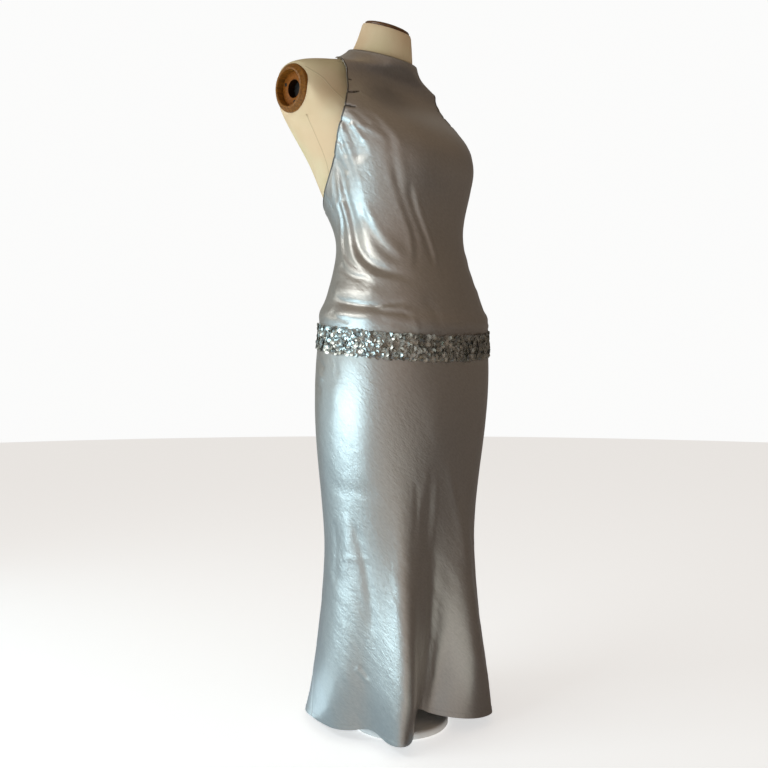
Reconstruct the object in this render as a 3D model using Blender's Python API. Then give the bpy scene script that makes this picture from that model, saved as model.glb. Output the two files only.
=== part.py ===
"""Bias-cut satin halter gown with a sequin hip band, on a limbless dress form and its stand.

Metres, +Z up. The origin is on the floor, under the centre of the stand's base. The form faces
-Y, so the wearer's left is at +X and the wearer's right at -X. Angles round the body are in
degrees: 0 at the centre front, positive towards the wearer's left, 180 at the centre back.

Every cloth piece is cut from one skin, gown_point(angle, height), and every part of the canvas
form from another, form_point(angle, height). Both read a short table of sections.
"""
import math
from collections import namedtuple

import bmesh
import bpy
import numpy as np
from mathutils import Matrix, Vector

# ---------------------------------------------------------------- driving sizes
GAP = 0.0003                # air between pieces that touch
SEAM_GAP = 0.0009           # the same on the outside of a curved seam, 0.3 mm inside
CLOTH = 0.0015              # wall of the satin
BINDING_WALL = 0.0010       # wall of the folded bindings
BINDING_WIDTH = 0.007       # width of a binding along the edge that it covers
BAND_WALL = 0.0020          # wall of the sequin band's backing
BAND_TALL = 0.045           # height of the sequin band
SEAM_ANGLE = 128.0          # the side-back seams, either side of the centre front
HEM_HEIGHT = 0.010          # lowest point of the hem above the floor
KNEE_HEIGHT = 0.535         # where the flutes of the skirt begin
HALTER_TOP = 1.339          # height of the neckline on the body's own sections
NECK_SNUG = 0.0054          # how far the neck band sinks back onto the nape, where it hangs
HALTER_END = 110.0          # where the front's halter ends meet the neck band
NECK_SEAM = 0.7             # degrees between those ends and the neck band
BUTTON_HEIGHT = 1.331       # height of the button on the neck band
BACK_LOW = 0.900            # height of the low back at the centre back
ARMHOLE_LOW = 1.018         # height of the armhole where it meets the back edge

BODY_RADIUS = 0.14          # the body's mean radius, which turns angles into widths
BAND_LOW = 0.739            # middle of the sequin band where it dips lowest
BAND_LOW_ANGLE = -22.0      # and the angle of that place
BAND_RISE = 0.050           # how much higher it is on the opposite side

FORM_TOP = 1.395            # top of the canvas neck
FORM_BOTTOM = 0.575         # underside of the canvas form
ARM_CENTRE = (0.201, 0.098, 1.241)   # middle of the left arm plate
ARM_TURN_DOWN = 6.0         # degrees that the arm plate turns towards the floor
ARM_RING_RADIUS = 0.0450
ARM_RING_INNER = 0.0330
ARM_RING_PROUD = 0.009      # how far the ring's inner bead stands out of the canvas
ARM_SOCKET_SUNK = 0.0055    # how deep the socket plate's face lies
ARM_HOLE_RADIUS = 0.0165    # central hole of the socket plate
ARM_POCKET_DEPTH = 0.024

POLE_RADIUS = 0.0125
POLE_INTO_FORM = 0.120
BASE_RADIUS = 0.095
BASE_THICK = 0.014
COLLAR_RADIUS = 0.030
COLLAR_TALL = 0.045
FLANGE_RADIUS = 0.045
FLANGE_THICK = 0.006

# ---------------------------------------------------------------- tables
Section = namedtuple("Section", "height front back half power lean")
# front and back are y, half is the half width, power 2 is an ellipse, lean is degrees forward
FORM_SECTIONS = [
    Section(0.575, -0.122, 0.112, 0.160, 2.2, 0),
    Section(0.655, -0.130, 0.124, 0.171, 2.2, 0),
    Section(0.735, -0.130, 0.127, 0.175, 2.2, 0),
    Section(0.815, -0.120, 0.114, 0.162, 2.2, 0),
    Section(0.885, -0.102, 0.101, 0.139, 2.1, 0),
    Section(0.960, -0.083, 0.105, 0.124, 2.1, 0),
    Section(1.035, -0.086, 0.138, 0.142, 2.2, 0),
    Section(1.115, -0.104, 0.171, 0.163, 2.4, 0),
    Section(1.175, -0.064, 0.189, 0.191, 2.5, 0),
    Section(1.225, -0.012, 0.194, 0.211, 2.6, 2),
    Section(1.262, 0.014, 0.186, 0.213, 2.6, 4),
    Section(1.288, 0.020, 0.172, 0.205, 2.4, 6),
    Section(1.305, 0.014, 0.155, 0.162, 2.2, 9),
    Section(1.315, 0.004, 0.140, 0.112, 2.0, 12),
    Section(1.328, -0.007, 0.123, 0.076, 2.0, 16),
    Section(1.347, -0.012, 0.108, 0.063, 2.0, 19),
    Section(1.395, -0.014, 0.090, 0.050, 2.0, 21),
]
GOWN_SECTIONS = [
    Section(0.005, -0.170, 0.185, 0.190, 2.1, 0),
    Section(0.075, -0.163, 0.171, 0.184, 2.1, 0),
    Section(0.175, -0.150, 0.153, 0.173, 2.1, 0),
    Section(0.275, -0.139, 0.139, 0.165, 2.1, 0),
    Section(0.375, -0.134, 0.134, 0.162, 2.1, 0),
    Section(0.475, -0.140, 0.140, 0.170, 2.1, 0),
    Section(0.575, -0.152, 0.146, 0.182, 2.1, 0),
    Section(0.675, -0.160, 0.144, 0.188, 2.1, 0),
    Section(0.765, -0.158, 0.135, 0.184, 2.1, 0),
    Section(0.835, -0.147, 0.122, 0.171, 2.1, 0),
    Section(0.900, -0.126, 0.111, 0.150, 2.1, 0),
    Section(0.960, -0.113, 0.114, 0.139, 2.1, 0),
    Section(1.035, -0.116, 0.146, 0.155, 2.2, 0),
    Section(1.115, -0.123, 0.178, 0.170, 2.4, 0),
    Section(1.175, -0.082, 0.195, 0.198, 2.5, 0),
    Section(1.225, -0.030, 0.200, 0.218, 2.6, 2),
    Section(1.262, 0.000, 0.192, 0.220, 2.6, 4),
    Section(1.288, 0.007, 0.178, 0.212, 2.4, 6),
    Section(1.305, 0.000, 0.163, 0.171, 2.2, 9),
    Section(1.315, -0.010, 0.148, 0.123, 2.0, 12),
    Section(1.328, -0.018, 0.131, 0.086, 2.0, 16),
    Section(1.347, -0.020, 0.115, 0.070, 2.0, 19),
]

Edge = namedtuple("Edge", "height angle")
# the front piece's free edge, from the side-back seam up the armhole to the neck
ARMHOLE = [
    Edge(1.018, 128), Edge(1.029, 115), Edge(1.045, 106), Edge(1.068, 97), Edge(1.096, 89),
    Edge(1.132, 79), Edge(1.164, 69.5), Edge(1.190, 63.5), Edge(1.216, 60), Edge(1.242, 58),
    Edge(1.268, 58.8), Edge(1.287, 60.8), Edge(1.300, 65), Edge(1.308, 71), Edge(1.314, 80),
    Edge(1.3185, 92), Edge(1.321, 104), Edge(1.323, 110), Edge(1.339, 110),
]

Flute = namedtuple("Flute", "angle knee calf ankle hem rise")
# millimetres: how far the skirt stands out (or in) at four heights, and how far the hem lifts
FLUTES = [
    Flute(-172, 0, 0, 0, 0, 3),
    Flute(-141, 0, 0, 1, 4, 4),
    Flute(-122, 0, -1, -6, -20, 8),
    Flute(-100, 0, -4, -14, -34, 11),
    Flute(-84, -2, -10, -26, -52, 14),
    Flute(-73, -5, -15, -32, -57, 20),
    Flute(-62, -4, -11, -24, -48, 16),
    Flute(-53, 0, -1, -7, -22, 12),
    Flute(-46, 4, 8, 6, -8, 12),
    Flute(-39, 2, 5, 2, -20, 12),
    Flute(-31, -7, -18, -44, -72, 13),
    Flute(-24, -13, -26, -60, -92, 26),
    Flute(-17, -14, -35, -66, -98, 36),
    Flute(-7, -10, -32, -66, -96, 32),
    Flute(4, -3, -20, -58, -84, 24),
    Flute(17, 5, 5, -10, -36, 18),
    Flute(32, 1, 3, 3, -6, 11),
    Flute(46, 0, 0, 2, 5, 6),
    Flute(70, -2, -6, -12, -16, 6),
    Flute(95, 2, 5, 8, 10, 2),
    Flute(118, -2, -8, -16, -24, 6),
    Flute(140, 0, 2, 6, 10, 3),
    Flute(162, -2, -6, -12, -20, 5),
]
# the same four heights as shares of the drop from the knee to the hem, below two of no flute
FLUTE_STATIONS = (-0.3, 0.0, 0.30, 0.58, 0.83, 1.0)

Crease = namedtuple("Crease", "angle_from height_from angle_to height_to width rise")
# the bodice's largest folds: width and rise in millimetres, a negative rise is a valley
CREASES = [
    Crease(-60, 1.185, -46, 1.125, 17, 5),
    Crease(-45, 1.120, -47, 0.985, 18, 6),
    Crease(-78, 0.985, -50, 0.890, 16, 6),
    Crease(-86, 0.945, -44, 0.860, 15, -6),
    Crease(-94, 0.830, -42, 0.824, 13, -5),
    Crease(-40, 1.005, -34, 0.880, 16, -5),
    Crease(58, 1.180, 44, 1.105, 17, 5),
    Crease(44, 1.105, 46, 0.975, 18, 5),
    Crease(82, 1.005, 52, 0.905, 16, 5),
    Crease(86, 0.945, 44, 0.870, 15, -5),
    Crease(98, 0.835, 38, 0.825, 13, -4),
]

# ---------------------------------------------------------------- curves


def spline(knots, values, period=None):
    """A smooth curve through the rows of a table; with a period it closes on itself."""
    knots = np.asarray(knots, float)
    values = np.asarray(values, float)
    if period:
        wrap = 4
        knots = np.concatenate([knots[-wrap:] - period, knots, knots[:wrap] + period])
        values = np.concatenate([values[-wrap:], values, values[:wrap]])
    count = len(knots)
    step = np.diff(knots)
    slope = np.diff(values) / step
    matrix = np.eye(count)
    right = np.zeros(count)
    for i in range(1, count - 1):
        matrix[i, i - 1:i + 2] = (step[i - 1], 2 * (step[i - 1] + step[i]), step[i])
        right[i] = 3 * (slope[i] - slope[i - 1])
    curve = np.linalg.solve(matrix, right)

    def value(at):
        at = np.asarray(at, float)
        if period:
            at = (at - knots[wrap]) % period + knots[wrap]
        k = np.clip(np.searchsorted(knots, at) - 1, 0, count - 2)
        d = at - knots[k]
        first = slope[k] - step[k] * (2 * curve[k] + curve[k + 1]) / 3
        return values[k] + d * (first + d * (curve[k] + d * (curve[k + 1] - curve[k]) / (3 * step[k])))

    return value


def smooth(t):
    """0 below 0, 1 above 1, with no corner."""
    t = np.clip(t, 0.0, 1.0)
    return t * t * (3 - 2 * t)


def section_curves(sections):
    """One smooth curve over the height for each column of a section table."""
    heights = [row.height for row in sections]
    return {name: spline(heights, [getattr(row, name) for row in sections])
            for name in Section._fields[1:]}


FORM_CURVES = section_curves(FORM_SECTIONS)
GOWN_CURVES = section_curves(GOWN_SECTIONS)
FLUTE_ANGLES = [row.angle for row in FLUTES]
FLUTE_CURVES = [spline(FLUTE_ANGLES, [getattr(row, name) / 1000 for row in FLUTES], 360)
                for name in ("knee", "calf", "ankle", "hem")]
FLUTE_FADES = [spline(FLUTE_STATIONS, [float(i == k) for i in range(len(FLUTE_STATIONS))])
               for k in (2, 3, 4, 5)]
HEM_RISE = spline(FLUTE_ANGLES, [row.rise / 1000 for row in FLUTES], 360)


def skin_point(curves, angle, height, out=0.0):
    """A point of a skin: the section's outline at that height, moved out along its radius."""
    angle = np.radians(np.asarray(angle, float))
    height = np.asarray(height, float)
    front, back, half, power, lean = (curves[name](height) for name in Section._fields[1:])
    middle = (front + back) / 2
    deep = (back - front) / 2
    side = np.sin(angle)
    ahead = np.cos(angle)
    radius = (np.abs(side / half) ** power + np.abs(ahead / deep) ** power) ** (-1 / power) + out
    lean = np.radians(lean)
    y = -radius * ahead
    return np.stack([radius * side, middle + y * np.cos(lean), height + y * np.sin(lean)], -1)


def form_point(angle, height, out=0.0):
    """A point of the canvas form."""
    return skin_point(FORM_CURVES, angle, height, out)


def hem_height(angle):
    """Height of the skirt's lower edge."""
    return HEM_HEIGHT + HEM_RISE(angle)


def flute_out(angle, height):
    """How far the skirt's flutes stand out: each height's curve, faded smoothly into the next."""
    drop = np.clip((KNEE_HEIGHT - height) / (KNEE_HEIGHT - hem_height(angle)), FLUTE_STATIONS[0], 1.0)
    return sum(fade(drop) * curve(angle) for fade, curve in zip(FLUTE_FADES, FLUTE_CURVES))


def crease_out(angle, height):
    """How far the bodice's folds stand out: a soft bar along each row of the table."""
    out = np.zeros(np.broadcast(angle, height).shape)
    around = BODY_RADIUS * np.radians(angle)
    for row in CREASES:
        start = np.array([BODY_RADIUS * math.radians(row.angle_from), row.height_from])
        end = np.array([BODY_RADIUS * math.radians(row.angle_to), row.height_to])
        run = end - start
        length = np.hypot(*run)
        along = ((around - start[0]) * run[0] + (height - start[1]) * run[1]) / length ** 2
        across = ((around - start[0]) * run[1] - (height - start[1]) * run[0]) / length
        ends = smooth(along * 4 + 0.5) * smooth((1 - along) * 4 + 0.5)
        out = out + row.rise / 1000 * ends * np.exp(-(across * 1000 / row.width) ** 2)
    return out


def blouse_out(angle, height):
    """The bodice blouses out over the sequin band."""
    above = height - band_middle(angle) - BAND_TALL / 2
    return 0.007 * np.exp(-((above - 0.022) / 0.020) ** 2)


def gown_point(angle, height, out=0.0):
    """A point of the gown's outer face."""
    angle, height = np.broadcast_arrays(np.asarray(angle, float), np.asarray(height, float))
    folds = flute_out(angle, height)
    folds = folds + np.where(height > BAND_LOW, crease_out(angle, height) + blouse_out(angle, height), 0)
    return skin_point(GOWN_CURVES, angle, height, folds + out)


def band_middle(angle):
    """Height of the sequin band's middle: it dips towards the front."""
    away = (1 - np.cos(np.radians(angle - BAND_LOW_ANGLE))) / 2
    return BAND_LOW + BAND_RISE * away


ARMHOLE_ANGLE = spline(range(len(ARMHOLE)), [row.angle for row in ARMHOLE])
ARMHOLE_HEIGHT = spline(range(len(ARMHOLE)), [row.height for row in ARMHOLE])


def armhole_edge(height):
    """Angle of the armhole's edge at a height above its lowest point."""
    steps = np.linspace(0, len(ARMHOLE) - 1, 400)
    heights = np.maximum.accumulate(ARMHOLE_HEIGHT(steps))
    return np.interp(height, heights, ARMHOLE_ANGLE(steps))


def back_edge(angle):
    """Height of the low back's edge, from the armholes down to the centre back."""
    towards_back = min((abs(angle) - SEAM_ANGLE) / (180 - SEAM_ANGLE), 1.0)
    steep = math.sin(towards_back * math.pi / 2)
    return ARMHOLE_LOW + (BACK_LOW - ARMHOLE_LOW) * (0.25 * steep + 0.75 * steep * steep)


# ---------------------------------------------------------------- making objects


def material(name, colour, roughness, metallic=0.0):
    """A plain Principled material."""
    made = bpy.data.materials.new(name)
    made.use_nodes = True
    shader = made.node_tree.nodes["Principled BSDF"]
    shader.inputs["Base Color"].default_value = (*colour, 1.0)
    shader.inputs["Roughness"].default_value = roughness
    shader.inputs["Metallic"].default_value = metallic
    made.diffuse_color = (*colour, 1.0)
    return made


def add_object(name, mesh, look, smooth_angle=None):
    """Puts a mesh in the scene as one named object."""
    mesh.materials.append(look)
    if smooth_angle:
        mesh.shade_smooth()
        mesh.set_sharp_from_angle(angle=math.radians(smooth_angle))
    made = bpy.data.objects.new(name, mesh)
    bpy.context.collection.objects.link(made)
    return made


def grid_mesh(name, points, closed=False):
    """A sheet of quads through rows of points; closed joins each row's end to its start."""
    rows, columns = points.shape[:2]
    faces = []
    for i in range(rows - 1):
        for j in range(columns if closed else columns - 1):
            k = (j + 1) % columns
            faces.append((i * columns + j, i * columns + k, (i + 1) * columns + k, (i + 1) * columns + j))
    mesh = bpy.data.meshes.new(name)
    mesh.from_pydata(points.reshape(-1, 3).tolist(), [], faces)
    return mesh


def moved_out(points, distance, closed=False):
    """A grid's points moved along its normals, for what lies on a panel."""
    mesh = grid_mesh("guide", points, closed)
    normals = np.array([vertex.normal[:] for vertex in mesh.vertices]).reshape(points.shape)
    bpy.data.meshes.remove(mesh)
    return points + normals * distance


def cloth(name, points, look, wall=CLOTH, closed=False, outwards=False):
    """A sheet with a wall, inwards from its points, or outwards for what lies on a panel."""
    made = add_object(name, grid_mesh(name, points, closed), look, 50)
    thick = made.modifiers.new("wall", "SOLIDIFY")
    thick.thickness = wall
    thick.offset = 1 if outwards else -1
    thick.use_even_offset = True
    return made


def spun(name, profile, look, steps, centre=(0, 0, 0), axis=(0, 0, 1), smooth_angle=40):
    """A turned solid: a closed profile of (radius, along) points about an axis."""
    edit = bmesh.new()
    verts = [edit.verts.new((radius, 0, along)) for radius, along in profile]
    edges = [edit.edges.new((a, b)) for a, b in zip(verts, verts[1:])]
    if profile[0][0] > 0:
        edges.append(edit.edges.new((verts[-1], verts[0])))
    bmesh.ops.spin(edit, geom=verts + edges, cent=(0, 0, 0), axis=(0, 0, 1), angle=math.tau,
                   steps=steps, use_merge=True)
    bmesh.ops.remove_doubles(edit, verts=edit.verts, dist=1e-6)
    bmesh.ops.recalc_face_normals(edit, faces=edit.faces)
    turn = Vector((0, 0, 1)).rotation_difference(Vector(axis)).to_matrix().to_4x4()
    edit.transform(Matrix.Translation(centre) @ turn)
    mesh = bpy.data.meshes.new(name)
    edit.to_mesh(mesh)
    edit.free()
    return add_object(name, mesh, look, smooth_angle)


def cut(target, cutter):
    """Takes a cutter's shape out of an object; the cutter stays as a hidden guide."""
    cutter.hide_render = True
    cutter.display_type = "WIRE"
    boolean = target.modifiers.new("cut " + cutter.name, "BOOLEAN")
    boolean.operation = "DIFFERENCE"
    boolean.object = cutter


# ---------------------------------------------------------------- the gown


SEAM_INSET = math.degrees(SEAM_GAP / 2 / BODY_RADIUS)   # half of a seam's gap, as an angle
FRONT_END = SEAM_ANGLE - SEAM_INSET
BACK_START = SEAM_ANGLE + SEAM_INSET
BINDING_SHARE = 0.024                          # share of the front's half width under a binding


def front_shares():
    """The front's columns, as shares of its half width, closest where the skirt folds deepest."""
    inner = np.concatenate([np.linspace(-1 + BINDING_SHARE, -0.47, 9)[:-1],
                            np.linspace(-0.47, -0.06, 16)[:-1],
                            np.linspace(-0.06, 1 - BINDING_SHARE, 16)])
    return np.concatenate([[-1], inner, [1]])


FRONT_COLUMNS = front_shares() * FRONT_END
LOW_ROWS = 8                # the front's rows from the sequin band to the armholes
SHOULDER_ROWS = (1.290, 1.301, 1.3085, 1.3145, 1.3190, 1.3230)   # heights, over the shoulder
BACK_COLUMNS = np.linspace(BACK_START, 360 - BACK_START, 17)


def bodice_low_rows(angles, top, count):
    """Rows of a bodice panel, from under the sequin band up to a top edge."""
    middle = band_middle(angles)
    heights = [middle + GAP / 2, middle + BAND_TALL / 2]
    start = heights[1]
    heights += [start + (top - start) * t for t in np.linspace(0, 1, count)[1:]]
    return [gown_point(angles, height) for height in heights]


def bodice_front_points():
    """The halter front, wide to the side-back seams below and round the neck above."""
    rows = bodice_low_rows(FRONT_COLUMNS, ARMHOLE_LOW, LOW_ROWS)
    high = np.linspace(ARMHOLE_LOW, 1.275, 9)[1:]
    for height in np.concatenate([high, SHOULDER_ROWS, [HALTER_TOP]]):
        angles = front_shares() * (armhole_edge(height) - SEAM_INSET)
        rows.append(gown_point(angles, height))
    return np.array(rows)


def bodice_back_points():
    """The low back, between the side-back seams."""
    top = np.array([back_edge(min(a, 360 - a)) for a in BACK_COLUMNS])
    rows = bodice_low_rows(BACK_COLUMNS, top - BINDING_WIDTH, 6)
    rows.append(gown_point(BACK_COLUMNS, top))
    return np.array(rows)


SKIRT_SHARES = (1, 0.93, 0.86, 0.78, 0.68, 0.58, 0.47, 0.36, 0.24, 0.12, 0)   # of its drop, rows


def skirt_points(angles):
    """A skirt panel, from its fluted hem up to the middle of the sequin band."""
    start = band_middle(angles) - BAND_TALL / 2
    heights = [hem_height(angles) * share + start * (1 - share) for share in SKIRT_SHARES]
    heights.append(band_middle(angles) - GAP / 2)
    return np.array([gown_point(angles, height) for height in heights])


def sequin_band(fronts, backs, look):
    """The backing of the sequin band, a ring over the seam between bodice and skirt."""
    front_bodice, front_skirt = fronts
    back_bodice, back_skirt = backs
    rows = [np.concatenate([front, back[1:-1]]) for front, back in (
        (front_skirt[-2], back_skirt[-2]), (front_bodice[0], back_bodice[0]),
        (front_bodice[1], back_bodice[1]))]
    points = moved_out(np.array(rows), GAP * 2, closed=True)
    return cloth("sequin_band", points, look, BAND_WALL, closed=True, outwards=True)


def binding(name, points, look):
    """A folded binding that lies on a panel, along its edge."""
    return cloth(name, points, look, BINDING_WALL, outwards=True)


def gown(satin, sequins):
    """Every piece of the gown."""
    front = bodice_front_points()
    back = bodice_back_points()
    front_skirt = skirt_points(FRONT_COLUMNS)
    back_skirt = skirt_points(BACK_COLUMNS)
    cloth("bodice_front", front, satin)
    cloth("bodice_back", back, satin)
    cloth("skirt_front", front_skirt, satin)
    cloth("skirt_back", back_skirt, satin)
    sequin_band((front, front_skirt), (back, back_skirt), sequins)
    over_front = moved_out(front, GAP * 2)
    over_back = moved_out(back, GAP * 2)
    binding("armhole_binding_left", over_front[LOW_ROWS + 1:-2, -2:], satin)
    binding("armhole_binding_right", over_front[LOW_ROWS + 1:-2, :2], satin)
    binding("back_edge_binding", over_back[-2:], satin)
    neck_band(satin)
    neck_button(satin)


def neck_band(look):
    """The halter's band round the back of the neck."""
    end = HALTER_END + NECK_SEAM
    angles = np.linspace(end, 360 - end, 17)
    snug = NECK_SNUG * smooth((70 - abs(angles - 180)) / 45)
    rows = [gown_point(angles, height, -snug) for height in (SHOULDER_ROWS[-1], BUTTON_HEIGHT, HALTER_TOP)]
    return cloth("neck_band", np.array(rows), look)


def neck_button(look):
    """The covered button that closes the neck band at the nape."""
    seat = Vector(gown_point(180.0, BUTTON_HEIGHT, -NECK_SNUG).tolist())
    above = Vector(gown_point(180.0, BUTTON_HEIGHT + 0.004, -NECK_SNUG).tolist())
    up = (above - seat).normalized()
    out = Vector((1, 0, 0)).cross(up).normalized() * -1
    if out.y < 0:
        out = -out
    profile = [(0, 0.0006), (0.0058, 0.0006), (0.0062, 0.0022), (0.0045, 0.0040), (0, 0.0046)]
    return spun("neck_button", profile, look, 16, seat, out)


# ---------------------------------------------------------------- the dress form


def torso(look):
    """The canvas form: a lofted solid, open to nothing, with a flat seat for each arm plate."""
    heights = np.concatenate([np.linspace(FORM_BOTTOM, 1.175, 13), np.linspace(1.200, 1.275, 4),
                              (1.287, 1.297, 1.305, 1.313, 1.321, 1.331, 1.345, 1.370, FORM_TOP)])
    angles = np.arange(0, 360, 9.0)
    points = np.array([form_point(angles, height) for height in heights])
    mesh = grid_mesh("form_torso", points, closed=True)
    edit = bmesh.new()
    edit.from_mesh(mesh)
    bmesh.ops.holes_fill(edit, edges=[e for e in edit.edges if e.is_boundary])
    bmesh.ops.triangulate(edit, faces=edit.faces)
    bmesh.ops.recalc_face_normals(edit, faces=edit.faces)
    edit.to_mesh(mesh)
    edit.free()
    return add_object("form_torso", mesh, look, 40)


def arm_frame(side):
    """Centre and outward axis of an arm plate."""
    centre = Vector((side * ARM_CENTRE[0], ARM_CENTRE[1], ARM_CENTRE[2]))
    down = math.radians(ARM_TURN_DOWN)
    axis = Vector((side * math.cos(down), 0, -math.sin(down)))
    return centre, axis


def arm_seat(body, side, name, look):
    """Cuts the flat face of an arm plate and the round pocket in it."""
    centre, axis = arm_frame(side)
    radius = ARM_RING_RADIUS + GAP
    profile = [(0, -ARM_POCKET_DEPTH), (radius, -ARM_POCKET_DEPTH), (radius, 0), (0.12, 0),
               (0.12, 0.06), (0, 0.06)]
    cut(body, spun("guide_seat_" + name, profile, look, 32, centre, axis))


def arm_ring(name, side, look):
    """The turned wooden ring let into the shoulder's end."""
    centre, axis = arm_frame(side)
    back = GAP - ARM_POCKET_DEPTH
    profile = [(ARM_RING_INNER, back), (ARM_RING_RADIUS, back), (ARM_RING_RADIUS, 0.0015),
               (ARM_RING_RADIUS - 0.002, 0.0035), (ARM_RING_INNER + 0.005, ARM_RING_PROUD - 0.001),
               (ARM_RING_INNER + 0.0025, ARM_RING_PROUD), (ARM_RING_INNER, ARM_RING_PROUD - 0.002)]
    return spun(name, profile, look, 32, centre, axis)


def arm_socket(name, side, look):
    """The recessed plate inside the ring, with its central hole."""
    centre, axis = arm_frame(side)
    back = GAP - ARM_POCKET_DEPTH
    rim = ARM_RING_INNER - GAP
    profile = [(ARM_HOLE_RADIUS, back), (rim, back), (rim, -ARM_SOCKET_SUNK),
               (ARM_HOLE_RADIUS + 0.001, -ARM_SOCKET_SUNK), (ARM_HOLE_RADIUS, -ARM_SOCKET_SUNK - 0.001)]
    return spun(name, profile, look, 32, centre, axis)


def neck_cap(look):
    """The domed wooden cap on the neck, tilted like the neck's top."""
    ring = form_point(np.array([0.0, 90.0, 180.0]), FORM_TOP)
    front, side, back = (Vector(p.tolist()) for p in ring)
    centre = (front + back) / 2
    up = (side - centre).cross(back - centre).normalized()
    if up.z < 0:
        up = -up
    profile = [(0, GAP), (0.0435, GAP), (0.0465, 0.0025), (0.0455, 0.0055), (0.036, 0.0085),
               (0.020, 0.0105), (0, 0.0112)]
    return spun("neck_cap", profile, look, 32, centre, up)


def stand(metal, painted):
    """The pole, its flange under the form, its collar and the round base."""
    reach = FORM_BOTTOM + POLE_INTO_FORM
    flat = BASE_THICK + GAP
    spun("stand_pole", [(0, flat), (POLE_RADIUS, flat), (POLE_RADIUS, reach), (0, reach)], metal, 24)
    spun("stand_collar", [(POLE_RADIUS + GAP, flat), (COLLAR_RADIUS, flat), (COLLAR_RADIUS, flat + 0.010),
                          (POLE_RADIUS + 0.006, flat + COLLAR_TALL),
                          (POLE_RADIUS + GAP, flat + COLLAR_TALL)], painted, 24)
    under = FORM_BOTTOM - GAP
    spun("pole_flange", [(POLE_RADIUS + GAP, under - FLANGE_THICK - 0.014),
                         (POLE_RADIUS + 0.005, under - FLANGE_THICK - 0.014),
                         (POLE_RADIUS + 0.005, under - FLANGE_THICK), (FLANGE_RADIUS, under - FLANGE_THICK),
                         (FLANGE_RADIUS, under), (POLE_RADIUS + GAP, under)], metal, 24)
    spun("stand_base", [(0, 0), (BASE_RADIUS - 0.002, 0), (BASE_RADIUS, 0.002),
                        (BASE_RADIUS, BASE_THICK - 0.004), (BASE_RADIUS - 0.004, BASE_THICK),
                        (0, BASE_THICK)], painted, 48)


def pole_bore(body, look):
    """The hole in the form that takes the pole."""
    radius = POLE_RADIUS + GAP
    top = FORM_BOTTOM + POLE_INTO_FORM + GAP
    bottom = FORM_BOTTOM - 0.02
    profile = [(0, bottom), (radius, bottom), (radius, top), (0, top)]
    bore = spun("guide_pole_bore", profile, look, 24)
    cut(body, bore)


def main():
    """Builds the whole object in an empty scene."""
    for old in list(bpy.data.objects):
        bpy.data.objects.remove(old)
    satin = material("satin", (0.47, 0.50, 0.50), 0.3)
    sequins = material("sequin_backing", (0.35, 0.36, 0.35), 0.35, 0.5)
    canvas = material("canvas", (0.78, 0.70, 0.52), 0.9)
    wood = material("turned_wood", (0.30, 0.15, 0.03), 0.45)
    dark_wood = material("dark_wood", (0.10, 0.04, 0.008), 0.5)
    steel = material("steel", (0.55, 0.55, 0.54), 0.35, 1.0)
    paint = material("stand_paint", (0.75, 0.74, 0.70), 0.5)

    gown(satin, sequins)
    body = torso(canvas)
    for side, name in ((1, "left"), (-1, "right")):
        arm_seat(body, side, name, wood)
        arm_ring("arm_ring_" + name, side, wood)
        arm_socket("arm_socket_" + name, side, dark_wood)
    pole_bore(body, steel)
    neck_cap(dark_wood)
    stand(steel, paint)


main()
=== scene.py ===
"""Looks of the silver satin halter gown with a sequin hip band, on its limbless dress form."""
import random
from collections import namedtuple
from math import cos, pi, radians, sin, sqrt, tau

import bpy
import numpy as np
from bpy.props import FloatProperty, FloatVectorProperty, IntProperty, PointerProperty
from mathutils import Matrix, Vector


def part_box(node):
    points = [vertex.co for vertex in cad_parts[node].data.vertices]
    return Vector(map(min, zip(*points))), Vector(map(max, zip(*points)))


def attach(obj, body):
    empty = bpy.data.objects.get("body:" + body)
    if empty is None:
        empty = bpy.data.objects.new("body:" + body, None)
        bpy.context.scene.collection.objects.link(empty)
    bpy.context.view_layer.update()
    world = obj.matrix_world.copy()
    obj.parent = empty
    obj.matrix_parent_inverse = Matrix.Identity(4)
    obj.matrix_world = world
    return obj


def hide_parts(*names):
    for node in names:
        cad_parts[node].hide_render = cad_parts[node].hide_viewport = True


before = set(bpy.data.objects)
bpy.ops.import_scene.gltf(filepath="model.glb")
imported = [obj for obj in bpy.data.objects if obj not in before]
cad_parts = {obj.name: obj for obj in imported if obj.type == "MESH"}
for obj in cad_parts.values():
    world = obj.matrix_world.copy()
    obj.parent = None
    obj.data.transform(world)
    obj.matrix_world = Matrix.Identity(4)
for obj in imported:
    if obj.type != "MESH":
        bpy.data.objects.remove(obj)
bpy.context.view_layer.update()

bl_info = {
    "name": "Halter gown on a dress form",
    "version": (1, 0, 0),
    "blender": (4, 5, 0),
    "location": "3D View > Sidebar > Gown",
    "description": "Models the satin, sequins, canvas form and stand of a halter gown",
    "category": "Object",
}

# ---------------------------------------------------------------- sizes shared with the solids
SEAM_ANGLE = 128.0          # the side-back seams, either side of the centre front
SEAM_DEEP = 0.0009
SEAM_WIDE = 0.0022
HEM_HEIGHT = 0.01
HEM_DEPTH = 0.0095
HEM_THICK = 0.0006
HEM_STITCH = 0.01           # the stitches' height above the lower edge
NECK_STITCH = 0.0035        # and their depth below the halter's top
KNEE_HEIGHT = 0.535
ARMHOLE_LOW = 1.018
SHOULDER_LOW = 1.275
SHOULDER_HIGH = 1.3055
HALTER_SEAM = 1.323         # where the halter's ends are sewn to the neck band
HALTER_TOP = 1.339
HALTER_END = 110.0
NECK_SEAM = 0.7
NECK_SNUG = 0.0054
BUTTON_HEIGHT = 1.331
BACK_LOW = 0.9
FORM_CLEARANCE = 0.002
BODY_RADIUS = 0.14          # the body's mean radius, which turns angles into widths
BAND_TALL = 0.045
BAND_LOW = 0.739
BAND_LOW_ANGLE = -22.0
BAND_RISE = 0.05
BAND_ROUND = 1.035          # the band's length round the hips
NET_WALL = 0.0008
EDGE_WALL = 0.0004
BLOUSE_OUT = 0.007
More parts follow.
